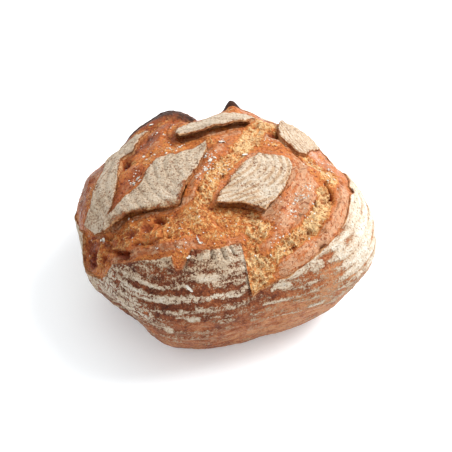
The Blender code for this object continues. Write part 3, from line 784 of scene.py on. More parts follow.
def edge_field():
    """Distance to crust, valley depth, distance past the skin's edge, and the rise to the back plates' rims.

    Each layer comes from distances in space between the grid's points and points along the edges. The first
    is below nothing under a plate. The rise is given as its height and its share, which fades away from the
    rim and fast behind it.
    """
    flat = FlatField.grid()
    points = surface(flat)[0].reshape(-1, 3)
    edges = crust_edges()
    spots = np.concatenate([edge for edge, _ in edges])
    lifts = np.concatenate([lift for _, lift in edges])
    rim_from = len(spots) - len(edges[-1][0])
    lifted = lifts > 0
    runs = [rim_run(name) for name in RISING_RIMS]
    rims = np.concatenate([run for run, _ in runs])
    heights = np.concatenate([height for _, height in runs])
    layers = []
    for part in np.array_split(points, 24):
        gap = np.maximum(squared_gaps(part, spots), 0.0)
        depth = VALLEY_SHARE * lifts[lifted] * np.exp(-gap[:, lifted] / VALLEY_REACH**2)
        to_rim = squared_gaps(part, rims)
        nearest = to_rim.argmin(axis=1)
        fade = np.exp(-np.maximum(to_rim.min(axis=1), 0.0) / RIM_RISE_REACH**2)
        rim_gap = np.sqrt(gap[:, rim_from:].min(axis=1))
        layers.append([np.sqrt(gap.min(axis=1)), depth.max(axis=1), rim_gap, heights[nearest], fade])
    shape = flat.shape[:-1]
    to_edge, valley, past, rise, share = (np.concatenate(layer).reshape(shape) for layer in zip(*layers))
    bearing = np.arctan2(flat[..., 1], flat[..., 0])
    level = np.hypot(flat[..., 0], flat[..., 1])
    under = np.any([inside(flat, plate) for plate in PLATES.values()], axis=0)
    to_edge = np.where(under, -to_edge, to_edge)
    past = past * np.sign(level - skin_start(bearing))
    corners = sorted(spot for name in RISING_RIMS for spot in PLATES[name]["first"])
    edge_level = np.interp(np.degrees(bearing) % 360, [b for b, _ in corners], [v for _, v in corners])
    share = share * ease(0.022, 0.002, level - edge_level)
    valley = valley * (1.0 - share)
    return FlatField(to_edge, valley, past, rise, share)


def bowls(points, size, seed, reach, wall):
    """Bowls at scattered cells of a size, and the thin walls between them, each from 0 to 1."""
    first, second = cells(points, size, seed)
    return ease(*reach, first), bell(second - first, wall)


def tear_relief(flat, points, field):
    """Height of torn bread over the smooth loaf, with its tone, lightened on ridges and darkened in hollows
    as painted light and shade, and the painted shade that darkens its pits, grooves, cavities and the valleys
    below lifted edges.

    It is sunk a little beside crust and fuller between, with valleys below lifted edges. Where its tone is
    golden it lies deeper and foams: cells of two sizes are bowls with thin walls between, and a third,
    wide size opens near a few spots. Where it is red-brown it is a smoother skin, streaked along the
    crust's edges. Past the flank's edge it tucks under.
    """
    to_edge, valley, past, rise, share = field.read(flat)
    warp = noise_vector(points, 0.011, 70)
    warped = points + 0.0026 * warp
    fine_warp = noise_vector(points, 0.0040, 75)
    tone = blend_strokes(points + 0.0012 * warp + 0.0007 * fine_warp, TEAR_TONES, PLAIN_TONE)
    patch = layered(points, 0.012, 84, 2)
    foam = np.clip(ease(0.26, 0.60, tone) + 0.25 * patch, 0.0, 1.0)
    foam = foam * (0.4 + 0.6 * ease(0.0, 0.0030, to_edge))
    finer = warped + 0.0008 * fine_warp
    bowl, wall = bowls(finer, CELL_SIZE, 90, (0.70, 0.15), 0.13)
    bowl = bowl * ease(-0.7, 0.5, noise(points, 0.009, 91))
    small_bowl, small_wall = bowls(finer, SMALL_CELL_SIZE, 93, (0.70, 0.15), 0.16)
    small_bowl = small_bowl * ease(-0.6, 0.5, noise(points, 0.006, 94))
    coarse = np.max([near(points, spot_point(*spot), WIDE_CELL_REACH) for spot in COARSE_FOAM], axis=0)
    wide = bowls(warped + 0.0020 * warp, WIDE_CELL_SIZE, 97, (0.66, 0.20), 0.09)
    wide_bowl, wide_wall = (coarse * part for part in wide)
    crag = 1.0 - 2.0 * np.abs(noise(warped, 0.0085, 80))
    fine = layered(warped, 0.0021, 82, 2)
    hollow = bells_at(points, HOLLOWS)
    strands = add_strokes(points + 0.0010 * warp + 0.0009 * fine_warp, STRANDS)
    along = np.stack([to_edge, 0.16 * points[..., 0], 0.16 * points[..., 1]], axis=-1)
    streak = layered(along + 0.0004 * fine_warp, 0.0016, 99, 2)
    broad_streak = layered(along + 0.0012 * warp, 0.0052, 95, 2)
    height = TEAR_CREST * (1.0 - bell(np.maximum(to_edge, 0.0), TEAR_CREST_REACH)) - TEAR_DEPTH
    height -= 0.0030 * ease(0.0, 0.0030, -to_edge)
    height += LUMP_HEIGHT * lumps(points) * (0.3 + 0.7 * ease(0.0, 0.012, to_edge))
    height += strands - hollow - 0.0014 * (tone - PLAIN_TONE)
    height += foam * (0.00035 * crag - 0.0015 * bowl - 0.00065 * small_bowl)
    height += foam * (0.00025 * wall + 0.00020 * small_wall) - 0.0026 * wide_bowl + 0.0005 * wide_wall
    height += (1.0 - foam) * (0.00045 * layered(warped, 0.0050, 86, 3) + 0.00036 * streak) + 0.00022 * fine
    height -= valley
    height = height * (1.0 - share) + (rise + 0.25 * height) * share
    height -= TUCK_DEPTH * ease(0.0006, TUCK_WIDTH, past)
    # Painted light and shade: the tone is raised on the foam's walls and on the crests of streaks and folds,
    # and lowered in its bowls and their troughs
    shown = tone + foam * (0.24 * wall + 0.18 * small_wall - 0.24 * bowl - 0.18 * small_bowl)
    shown += (1.0 - foam) * (0.24 * streak + 0.22 * broad_streak) + 0.20 * wide_wall - 0.20 * wide_bowl
    shown += 0.12 * patch + 0.07 * fine - 0.10 * ease(0.0045, 0.0, to_edge) * (1.0 - share)
    # Painted shade: darkening in the foam's bowls and wide cells, the valleys below lifted plate edges, the
    # troughs of streaks and folds, the cavities and the sunk strands
    pit_shade = foam * (0.45 * bowl + 0.35 * small_bowl) + 0.6 * wide_bowl + valley / 0.0160
    pit_shade += (1.0 - foam) * (0.30 * ease(0.1, 0.9, -streak) + 0.40 * ease(0.1, 0.9, -broad_streak))
    pit_shade += 1.4 * ease(0.0012, 0.0058, hollow) + 1.3 * ease(0.0006, 0.0040, -strands)
    return height, shown, pit_shade


def skin_relief(flat, points, spacing, ridge):
    """Height of whole skin over the smooth loaf: ridges with narrow grooves, slight lumps, fine grain."""
    groove, wave = ring_groove(flat, spacing)
    height = ridge * (0.45 * wave - 0.8 * groove) + 0.3 * LUMP_HEIGHT * lumps(points)
    height += 0.00022 * layered(points, 0.0048, 31, 3) + 0.00016 * noise(points, 0.0016, 35)
    return height, groove, wave


# Meshes


def grid_normals(points, closed):
    """Unit normals of a grid of points, across the differences to each point's neighbours."""
    along = np.gradient(points, axis=0)
    across = np.gradient(points, axis=1)
    if closed:
        across[:, [0, -1]] = 0.5 * (points[:, 1:2] - points[:, -2:-1])
    outward = points - MIDDLE
    normal = np.cross(along, across)
    normal *= np.sign(np.sum(normal * outward))
    return unit(np.where(np.linalg.norm(normal, axis=-1, keepdims=True) > 1e-13, normal, outward))


def put_mesh(name, points, faces, attributes, material, hidden=(), normals=None):
    """Object from points and faces, with named values per point, that rides the loaf and stands for it.

    Hidden faces close a piece inside the loaf and are flat, so that they leave the shading outside alone.
    """
    groups = [*faces, *hidden]
    mesh = bpy.data.meshes.new(name)
    mesh.vertices.add(len(points))
    mesh.vertices.foreach_set("co", np.ascontiguousarray(points, dtype=np.float32).ravel())
    corners = np.concatenate([group.ravel() for group in groups]).astype(np.int32)
    sizes = np.concatenate([np.full(len(group), group.shape[1]) for group in groups])
    mesh.loops.add(len(corners))
    mesh.loops.foreach_set("vertex_index", corners)
    mesh.polygons.add(len(sizes))
    starts = np.concatenate([[0], np.cumsum(sizes)[:-1]]).astype(np.int32)
    mesh.polygons.foreach_set("loop_start", starts)
    smooth = np.arange(len(sizes)) < sum(len(group) for group in faces)
    mesh.polygons.foreach_set("use_smooth", smooth)
    mesh.update(calc_edges=True)
    mesh.validate()
    for key, values in attributes.items():
        layer = mesh.attributes.new(key, "FLOAT", "POINT")
        layer.data.foreach_set("value", np.ascontiguousarray(values, dtype=np.float32).ravel())
    ob = bpy.data.objects.new(name, mesh)
    bpy.context.scene.collection.objects.link(ob)
    mesh.materials.append(material)
    face_outward(ob)
    if normals is not None:
        mesh.normals_split_custom_set_from_vertices(normals)
    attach(ob, "root")
    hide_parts("loaf")


def put_wedges(name, points, values, cuts, material, closed=False):
    """A grid of points cut into blocks, each closed by flat faces from its border to the loaf's middle.

    Normals come from the whole grid, so that the cuts don't show.
    """
    normals = grid_normals(points, closed)
    row_cuts, column_cuts = (
        np.linspace(0, size - 1, cut + 1).astype(int) for size, cut in zip(points.shape[:2], cuts)
    )
    number = 0
    for top, bottom in zip(row_cuts[:-1], row_cuts[1:]):
        for left, right in zip(column_cuts[:-1], column_cuts[1:]):
            number += 1
            part = np.s_[top : bottom + 1, left : right + 1]
            block = points[part]
            rows, columns = block.shape[:2]
            count = rows * columns
            cap = fan_faces(border(np.arange(count).reshape(rows, columns)), count)
            verts = np.concatenate([block.reshape(-1, 3), [MIDDLE]])
            facing_out = np.concatenate([normals[part].reshape(-1, 3), [(0.0, 0.0, 1.0)]])
            kept = {key: np.append(value[part].ravel(), 0.0) for key, value in values.items()}
            put_mesh(
                f"{name}_{number}", verts, [grid_faces(rows, columns)], kept, material,
                hidden=[cap], normals=facing_out,
            )


def grid_faces(rows, columns, start=0, flip=False):
    """Four-sided faces of a grid of points in rows, turned over where asked."""
    index = np.arange(rows * columns).reshape(rows, columns) + start
    corners = [index[:-1, :-1], index[1:, :-1], index[1:, 1:], index[:-1, 1:]]
    faces = np.stack(corners, axis=-1).reshape(-1, 4)
    return faces[:, ::-1] if flip else faces


def fan_faces(ring, centre):
    """Triangles from one centre to a closed ring of points."""
    return np.stack([np.full(len(ring), centre), np.roll(ring, -1), ring], axis=-1)


def disc_grid(steps):
    """Square grid bent to a disc: each square ring becomes a circle, so cells keep about one size."""
    side = np.linspace(-1.0, 1.0, steps + 1)
    a, b = np.meshgrid(side, side, indexing="ij")
    wide = np.abs(a) > np.abs(b)
    with np.errstate(divide="ignore", invalid="ignore"):
        turn = np.where(wide, math.pi / 4 * b / a, math.pi / 2 - math.pi / 4 * a / b)
    turn = np.nan_to_num(turn)
    radius = np.where(wide, a, b)
    return np.stack([radius * np.cos(turn), radius * np.sin(turn)], axis=-1)


def border(index):
    """Indices around the edge of a grid of indices, in order."""
    return np.concatenate([index[:-1, 0], index[-1, :-1], index[:0:-1, -1], index[0, :0:-1]])


def build_tears(steps, blocks, material):
    """Torn bread: a sheet laid over the dome to just past the skin's edge, cut into closed wedges."""
    field = edge_field()
    disc = disc_grid(steps)
    bearing = np.arctan2(disc[..., 1], disc[..., 0])
    around = np.linspace(0.0, 2 * math.pi, 361)[:-1]
    start = skin_start(around)
    spread = np.maximum.reduce([np.roll(start, k) for k in range(-8, 9)])
    kernel = np.hanning(15) / np.hanning(15).sum()
    smooth = np.convolve(np.concatenate([spread[-7:], spread, spread[:7]]), kernel, mode="valid")
    reach = np.interp(bearing, around, smooth, period=2 * math.pi) + 0.05
    flat = disc * reach[..., None]
    points, normal = surface(flat)
    height, tone, pit_shade = tear_relief(flat, points, field)
    # The burn value holds burnt marks and the strokes' painted shade
    values = {"tone": tone, "pit_shade": pit_shade, "burn_and_shade": add_strokes(points, BURNS_AND_SHADE)}
    placed = points + normal * height[..., None]
    put_wedges("torn_bread", placed, values, (blocks, blocks), material)


def face_outward(ob):
    """Turn the mesh inside out where its volume, summed over its faces, comes out negative."""
    mesh = ob.data
    mesh.calc_loop_triangles()
    corners = np.empty(len(mesh.loop_triangles) * 3, dtype=np.int32)
    mesh.loop_triangles.foreach_get("vertices", corners)
    points = np.empty(len(mesh.vertices) * 3, dtype=np.float32)
    mesh.vertices.foreach_get("co", points)
    a, b, c = (points.reshape(-1, 3)[corners.reshape(-1, 3)[:, k]].astype(float) for k in range(3))
    if np.sum(a * np.cross(b, c)) < 0:
        mesh.flip_normals()


def build_flank(columns, rows, blocks, spacing, ridge, lip, material):
    """Whole skin of the flank and base, from its torn lip to the base's middle, cut into closed wedges.

    Rows step down the loaf: the first two are the lip's inner wall, the last two close the flat base.
    """
    bearing = np.linspace(0.0, 2 * math.pi, columns + 1)
    bearing[-1] = 0.0
    start = skin_start(bearing)
    end = np.maximum(1.0, start + 0.14)
    upper = rows // 3
    level = np.concatenate([
        start + np.linspace(0.0, 1.0, upper)[:, None] ** 1.6 * (end - start),
        end + np.linspace(0.0, 1.0, rows - upper + 1)[1:, None] * (2.0 - end),
    ])
    flat = flat_at(bearing, level)
    points, normal = surface(flat)
    height, groove, wave = skin_relief(flat, points, spacing, ridge)
    warp = 0.0013 * noise_vector(points, 0.0060, 57) + 0.0009 * noise_vector(points, 0.0022, 47)
    lips = [np.roll(points[:1], shift, axis=1) for shift in range(-9, 10)]
    from_lip = np.min([np.linalg.norm(points - near_lip, axis=-1) for near_lip in lips], axis=0)
    creases = add_strokes(points, SKIN_CREASES)
    height += creases
    height += 0.0005 * bell(from_lip, 0.004) * (0.6 + layered(points, 0.006, 44, 2))
    height -= 0.0007 * bell(from_lip, 0.0008)
    rest = blend_spots(flat, FLOUR_SPOTS) + 0.22 * wave * ease(1.3, 0.8, level)
    flour = blend_strokes(points + warp, FLOUR_STROKES, rest)
    grooved = np.clip(add_strokes(points, GROOVED_FLOUR), 0.0, 1.0)
    flour = flour + 0.10 * layered(points, 0.014, 41, 3) - 0.25 * grooved * groove
    flour = flour + 0.50 * layered(points * (0.26, 0.26, 1.0), 0.0030, 64, 3, 0.8)
    cracked = np.clip(add_strokes(points, CRACKED_FLOUR), 0.0, 1.0)
    flour = np.maximum(flour, cracked)
    creased = np.clip(-900.0 * creases, 0.0, 1.0)
    height += 0.0004 * ease(0.35, 0.65, flour)
    placed = points + normal * (height * above_base(level))[..., None]
    placed[..., 2] = np.maximum(placed[..., 2], 0.0)
    placed[-1, :, 2] = 0.0
    inner = points[0] + normal[0] * (height[0] - lip)[:, None]
    wall = points[0] + normal[0] * (height[0] - 0.4 * lip)[:, None]
    base_middle = np.array([*CENTRE_SHIFT, 0.0])
    base = [base_middle + (placed[-1] - base_middle) * share for share in (0.6, 0.0)]
    placed = np.concatenate([inner[None], wall[None], placed, np.stack(base)])
    ends = np.zeros((2, columns + 1))
    # Painted shade: the flour across the top of the front panel is greyed
    panel_shade = 0.6 * ease(0.74, 0.62, level) * ease(285, 270, np.degrees(bearing))
    shown = {
        "flour": (-1, flour),
        "torn": (1, bell(from_lip, 0.0010)),
        # Burnt marks and painted shade: the strokes' shade, and the skin's creases darkened
        "burn_and_shade": (0, add_strokes(points, BURNS_AND_SHADE) + 0.5 * creased),
        "cracked": (0, cracked),
        "band": (0, 0.9 * grooved * groove),
        "tan": (0, blend_spots(flat, TAN_SPOTS)),
        "shade": (0, panel_shade),
    }
    values = {key: np.concatenate([ends + wall, value, ends]) for key, (wall, value) in shown.items()}
    put_wedges("flank_crust", placed, values, (1, blocks), material, closed=True)


def ragged(flat, points, seed):
    """Edge positions shifted each way by layered noise, in level."""
    shift = [layered(points, EDGE_WAVER_LENGTH, seed + 3 * side, 4, 0.62) for side in (0, 1)]
    return flat + EDGE_WAVER * np.stack(shift, axis=-1)


def build_plate(name, plate, cell, spacing, ridge, thickness, material):
    """One plate of crust: a top skin and an underside joined around a torn wall.

    The top stands over the smooth loaf by the rise and by each side's lift, which fades inward. The
    underside is one thickness below it where the edge lifts and runs down into the bread elsewhere.
    """
    coarse = np.linspace(0.0, 1.0, 40)
    first_run = surface(along_edge(plate["first"], coarse))[0]
    second_run = surface(along_edge(plate["second"], coarse))[0]
    length = np.linalg.norm(np.diff(first_run, axis=0), axis=1).sum()
    width = np.linalg.norm(second_run - first_run, axis=1).max()
    along = int(length / cell)
    across = int(width / cell)
    shares = np.linspace(0.0, 1.0, along + 1)
    seed = sum(ord(letter) for letter in name)
    sides = [along_edge(plate[key], shares) for key in ("first", "second")]
    first, second = (ragged(side, surface(side)[0], seed)[:, None] for side in sides)
    sideways = np.linspace(0.0, 1.0, across + 1)[None, :, None]
    flat = first + (second - first) * sideways
    bow = layered(surface(flat)[0], EDGE_WAVER_LENGTH, seed + 40, 4, 0.62)
    to_end = np.minimum(shares, 1 - shares)[:, None] * length
    push = 0.010 * bow * bell(to_end, 0.006)
    lengthwise = np.gradient(flat, axis=0)
    lengthwise /= np.linalg.norm(lengthwise, axis=-1, keepdims=True) + 1e-9
    flat = flat + lengthwise * push[..., None]
    points, normal = surface(flat)
    edges = (points[:, :1], points[:, -1:], points[:1], points[-1:])
    lift = np.zeros(points.shape[:2])
    free = np.zeros(points.shape[:2])
    margin = np.full(points.shape[:2], 1.0)
    runs = (shares[:, None], shares[:, None], sideways[..., 0], sideways[..., 0])
    for edge, run, (amount, end_amount) in zip(edges, runs, plate["lifts"]):
        gap = np.linalg.norm(points - edge, axis=-1)
        fade = bell(gap, CURL_REACH)
        amount = amount + (end_amount - amount) * run
        lift = np.maximum(lift, amount * fade)
        free = np.maximum(free, np.minimum(amount / FREE_LIFT, 1.0) * fade)
        margin = np.minimum(margin, gap)
    grain, _, wave = skin_relief(flat, points, RING_SPACINGS.get(name, spacing), ridge)
    grain += 0.00055 * layered(points * (1.0, 1.6, 1.6), 0.0046, 37, 4, 0.6)
    high = PLATE_RISE + lift + bells_at(points, PEAKS) + grain
    high -= 0.0007 * bell(margin, 0.0009)
    high += 0.0010 * bell(margin, 0.004) * layered(points, 0.006, 45, 3)
    free = np.clip(1.6 * free - 0.4, 0.0, 1.0)
    from_first = np.linalg.norm(points - edges[0], axis=-1)
    if name in RISING_RIMS:
        free = free * ease(0.0, 0.010, from_first)
    thin = thickness * (0.75 + 0.35 * noise(points, 0.007, 46))
    low = -PLATE_SINK * (1.0 - free) + (high - thin) * free
    middle = np.maximum(high - 0.0009, 0.5 * (high + low))
    rows, columns = high.shape
    count = rows * columns
    ring = border(np.arange(count).reshape(rows, columns))
    top, under, wall = ((points + normal * side[..., None]).reshape(-1, 3) for side in (high, low, middle))
    walls = np.arange(2 * count, 2 * count + len(ring))
    after = np.roll(ring, -1)
    walls_after = np.roll(walls, -1)
    faces = [
        grid_faces(rows, columns),
        grid_faces(rows, columns, start=count, flip=True),
        np.stack([ring, after, walls_after, walls], axis=-1),
        np.stack([walls, walls_after, after + count, ring + count], axis=-1),
    ]
    ringed = 1.0 if name in RING_SPACINGS else 0.35
    band = ease(0.6, -0.6, wave) * ease(-0.7, 0.0, layered(points, 0.010, 49, 2))
    flour = blend_strokes(points, PLATE_FLOUR, 0.84) + 0.10 * layered(points, 0.013, 42, 3)
    flour = flour - 0.10 * ringed * band - 0.12 * bell(margin, 0.0016)
    # Burnt marks and the strokes' painted shade on the plate
    scorch_and_shade = add_strokes(points, BURNS_AND_SHADE)
    if name in RISING_RIMS:
        flour = flour - 1.2 * ease(0.006, 0.002, from_first)
    filled = count + len(ring)
    shown = {
        "flour": (flour, -1.0),
        "torn": (bell(margin, 0.0008), 1.0),
        "cracked": (np.zeros(count), 0.0),
        "tan": (np.full(count, 0.5), 0.5),
        "band": (ringed * band, 0.0),
        "shade": (add_strokes(points, PLATE_SHADES), 0.0),
    }
    values = {key: np.append(value.ravel(), np.full(filled, fill)) for key, (value, fill) in shown.items()}
    values["burn_and_shade"] = np.concatenate([scorch_and_shade.ravel(), np.zeros(count), scorch_and_shade.ravel()[ring] * 0.8])
    verts = np.concatenate([top, under, wall[ring]])
    put_mesh("plate_" + name, verts, faces, values, material)


def knob():
    """Ball of thirty-two faces: an eight-sided one with each edge split and pushed out to the ball."""
    points = [(1, 0, 0), (-1, 0, 0), (0, 1, 0), (0, -1, 0), (0, 0, 1), (0, 0, -1)]
    corners = ((0, 2, 4), (2, 1, 4), (1, 3, 4), (3, 0, 4), (2, 0, 5), (1, 2, 5), (3, 1, 5), (0, 3, 5))
    middles = {}
    faces = []
    for corner in corners:
        halves = []
        for pair in zip(corner, corner[1:] + corner[:1]):
            key = tuple(sorted(pair))
            if key not in middles:
                middles[key] = len(points)
                middle = np.add(points[pair[0]], points[pair[1]])
                points.append(tuple(middle / np.linalg.norm(middle)))
            halves.append(middles[key])
        ab, bc, ca = halves
        a, b, c = corner
        faces += [(a, ab, ca), (ab, b, bc), (ca, bc, c), (ab, bc, ca)]
    return np.array(points, dtype=float), np.array(faces)


def turned_axes(normal, rng):
    """For each normal three axes: two across it at a random turn, then itself."""
    across = rng.normal(size=normal.shape)
    across = unit(across - normal * np.sum(across * normal, axis=-1, keepdims=True))
    return np.stack([across, np.cross(normal, across), normal], axis=-2)


def build_crumbs(size, amount, material):
    """Flour crumbs on the tears: flattened uneven lumps in all directions, partly sunk into the bread."""
    rng = np.random.default_rng(19)
    flats = []
    for bearing, level, spread, count in CRUMB_CLUSTERS:
        number = max(1, int(count * amount))
        flats.append(flat_of((bearing, level)) + rng.normal(size=(number, 2)) * spread * 0.7)
    flat = np.concatenate(flats)
    bearing = np.arctan2(flat[:, 1], flat[:, 0])
    flat = flat[np.hypot(flat[:, 0], flat[:, 1]) < skin_start(bearing) - 0.01]
    points, normal = surface(flat)
    height, _, _ = tear_relief(flat, points, edge_field())
    scale = size * rng.lognormal(-0.10, 0.45, len(flat)).clip(0.4, 2.2)
    spots = points + normal * (height + 0.15 * scale)[:, None]
    shape, solid = knob()
    knobs = shape[None] * rng.uniform(0.55, 1.30, (len(flat), len(shape), 1))
    knobs = knobs * rng.uniform((0.8, 0.5, 0.30), (1.7, 1.1, 0.50), (len(flat), 3))[:, None]
    knobs = np.einsum("nki,nij->nkj", knobs, turned_axes(normal, rng))
    verts = spots[:, None] + knobs * scale[:, None, None]
    faces = solid[None] + (np.arange(len(flat)) * len(shape))[:, None, None]
    values = {"flour": np.full(len(flat) * len(shape), CRUMB_FLOUR)}
    put_mesh("flour_crumbs", verts.reshape(-1, 3), [faces.reshape(-1, 3)], values, material)


def build_flakes(material):
    """Loose flakes of floured skin: small curled leaves with a top, an underside and a torn rim."""
    rng = np.random.default_rng(23)
    field = edge_field()
    steps = 8
    disc = disc_grid(steps)
    away = np.linalg.norm(disc, axis=-1)
    count = (steps + 1) ** 2
    index = np.arange(count).reshape(steps + 1, steps + 1)
    rim = border(index)
    after = np.roll(rim, -1)
    verts, faces = [], []
    for number, (bearing, level, half_length, half_width, turn) in enumerate(FLAKES):
        turn = math.radians(turn)
        long_way = np.array([math.cos(turn), math.sin(turn)])
        cross_way = np.array([-long_way[1], long_way[0]])
        shape = 1.0 + 0.35 * noise(np.stack([disc[..., 0], disc[..., 1], away * 0 + number], axis=-1), 0.7, 5)
        local = disc[..., :1] * long_way * half_length + disc[..., 1:] * cross_way * half_width
        flat = flat_of((bearing, level)) + local * shape[..., None] / LEVEL_ARC
        points, normal = surface(flat)
        on_bread = level < skin_start(np.radians(np.array([float(bearing)])))[0]
        ground = tear_relief(flat, points, field)[0].mean() if on_bread else 0.0003
        curl = rng.uniform(0.1, 0.35) * half_width * (disc @ rng.normal(size=2)) * away
        high = ground + 0.0006 + curl + 0.00012 * noise(points, 0.0012, 9)
        low = high - 0.0006 * (1.15 - away)
        verts += [(points + normal * side[..., None]).reshape(-1, 3) for side in (high, low)]
        start = number * 2 * count
        faces.append(grid_faces(steps + 1, steps + 1, start))
        faces.append(grid_faces(steps + 1, steps + 1, start + count, flip=True))
        faces.append(np.stack([rim, rim + count, after + count, after], axis=-1)[:, ::-1] + start)
    values = {"flour": np.full(len(FLAKES) * 2 * count, CRUMB_FLOUR)}
    put_mesh("crust_flakes", np.concatenate(verts), faces, values, material)


# Materials


class Nodes:
    """Small helper that adds linked nodes to one material."""

    def __init__(self, name):
        self.material = bpy.data.materials.new(name)
        self.material.use_nodes = True
        self.tree = self.material.node_tree
        self.shader = self.tree.nodes["Principled BSDF"]
        self.place = self.add("ShaderNodeTexCoord").outputs["Object"]

    def feed(self, node, sockets):
        """Link each socket of a node, by name or number, to a source, or set it to a plain value."""
        for key, value in sockets.items():
            if isinstance(value, bpy.types.NodeSocket):
                self.tree.links.new(value, node.inputs[key])
            else:
                node.inputs[key].default_value = value

    def add(self, kind, sockets=None, **settings):
        """New node with its settings made and its sockets fed."""
        node = self.tree.nodes.new(kind)
        for key, value in settings.items():
            setattr(node, key, value)
        self.feed(node, sockets or {})
        return node

    def math(self, operation, *values):
        """One step of arithmetic on sources and plain numbers."""
        return self.add("ShaderNodeMath", dict(enumerate(values)), operation=operation).outputs[0]

    def value(self, name):
        """A piece's own value by name."""
        return self.add("ShaderNodeAttribute", attribute_name=name).outputs["Fac"]

    def grain(self, size, detail=3.0, roughness=0.6, distortion=0.0):
        """Noise with features of about a size in metres, around 0 and mostly within a half."""
        sockets = {
            "Vector": self.place, "Scale": 0.5 / size, "Detail": detail, "Roughness": roughness,
            "Distortion": distortion,
        }
        plain = self.add("ShaderNodeTexNoise", sockets).outputs["Fac"]
        return self.math("MULTIPLY_ADD", plain, 2.4, -1.2)

    def cracks(self, size):
        """Distance to the borders of uneven cells of about a size."""
        sockets = {"Vector": self.place, "Scale": 0.6 / size, "Detail": 3.0}
        warp = self.add("ShaderNodeTexNoise", sockets).outputs["Color"]
        sockets = {0: warp, 1: (1.6 * size, 1.6 * size, 1.6 * size), 2: self.place}
        moved = self.add("ShaderNodeVectorMath", sockets, operation="MULTIPLY_ADD").outputs[0]
        sockets = {"Vector": moved, "Scale": 1.0 / size}
        return self.add("ShaderNodeTexVoronoi", sockets, feature="DISTANCE_TO_EDGE").outputs["Distance"]

    def sum(self, *terms):
        """Sum of sources, each with its weight, and of plain numbers."""
        total = 0.0
        for term in terms:
            if isinstance(term, tuple):
                total = self.math("MULTIPLY_ADD", *term, total)
            else:
                total = self.math("ADD", term, total)
        return total

    def step(self, source, low, high, out_low=0.0, out_high=1.0):
        """Eased step of a source between two values."""
        sockets = {
            "Value": source, "From Min": low, "From Max": high, "To Min": out_low, "To Max": out_high,
        }
        return self.add("ShaderNodeMapRange", sockets, interpolation_type="SMOOTHSTEP").outputs["Result"]

    def times(self, a, b):
        """Product of two sources."""
        return self.math("MULTIPLY", a, b)

    def colours(self, source, *stops):
        """Ramp of colours, each a position and a screen colour."""
        node = self.add("ShaderNodeValToRGB", {"Fac": source})
        ramp = node.color_ramp
        while len(ramp.elements) < len(stops):
            ramp.elements.new(0.5)
        for element, (position, colour) in zip(ramp.elements, stops):
            element.position = position
            element.color = (*linear(colour), 1.0)
        return node.outputs["Color"]

    def blend(self, share, under, over, kind):
        """Two colours, the second laid on the first by a share."""
        sockets = {0: share, 6: under, 7: over}
        return self.add("ShaderNodeMix", sockets, data_type="RGBA", blend_type=kind).outputs[2]

    def mix(self, share, under, over):
        """Colour with another over it, a source or a screen colour, where the share is high."""
        if not isinstance(over, bpy.types.NodeSocket):
            over = (*linear(over), 1.0)
        return self.blend(share, under, over, "MIX")

    def deepen(self, share, colour, tint):
        """Colour times a tint, given as plain shares of red, green and blue, where the share is high."""
        return self.blend(share, colour, (*tint, 1.0), "MULTIPLY")

    def threads(self, size, width, distortion):
        """Tangled threads of about a size apart: where a twisted noise passes through its middle."""
        away = self.math("ABSOLUTE", self.grain(size, 1.5, 0.5, distortion))
        return self.step(away, 0.0, width, 1.0, 0.0)

    def bump(self, height, distance):
        """Fine relief in the shading, from a source times a distance in metres."""
        sockets = {"Height": height, "Distance": distance, "Strength": 1.0}
        return self.add("ShaderNodeBump", sockets).outputs["Normal"]


def linear(colour):
    """Screen colour in 255ths, as seen on the loaf's lit side, as the surface's own linear shares."""
    shares = np.array(colour, dtype=float) / 255.0
    shares = np.where(shares <= 0.04045, shares / 12.92, ((shares + 0.055) / 1.055) ** 2.4)
    return tuple(shares / LIT_LEVEL)


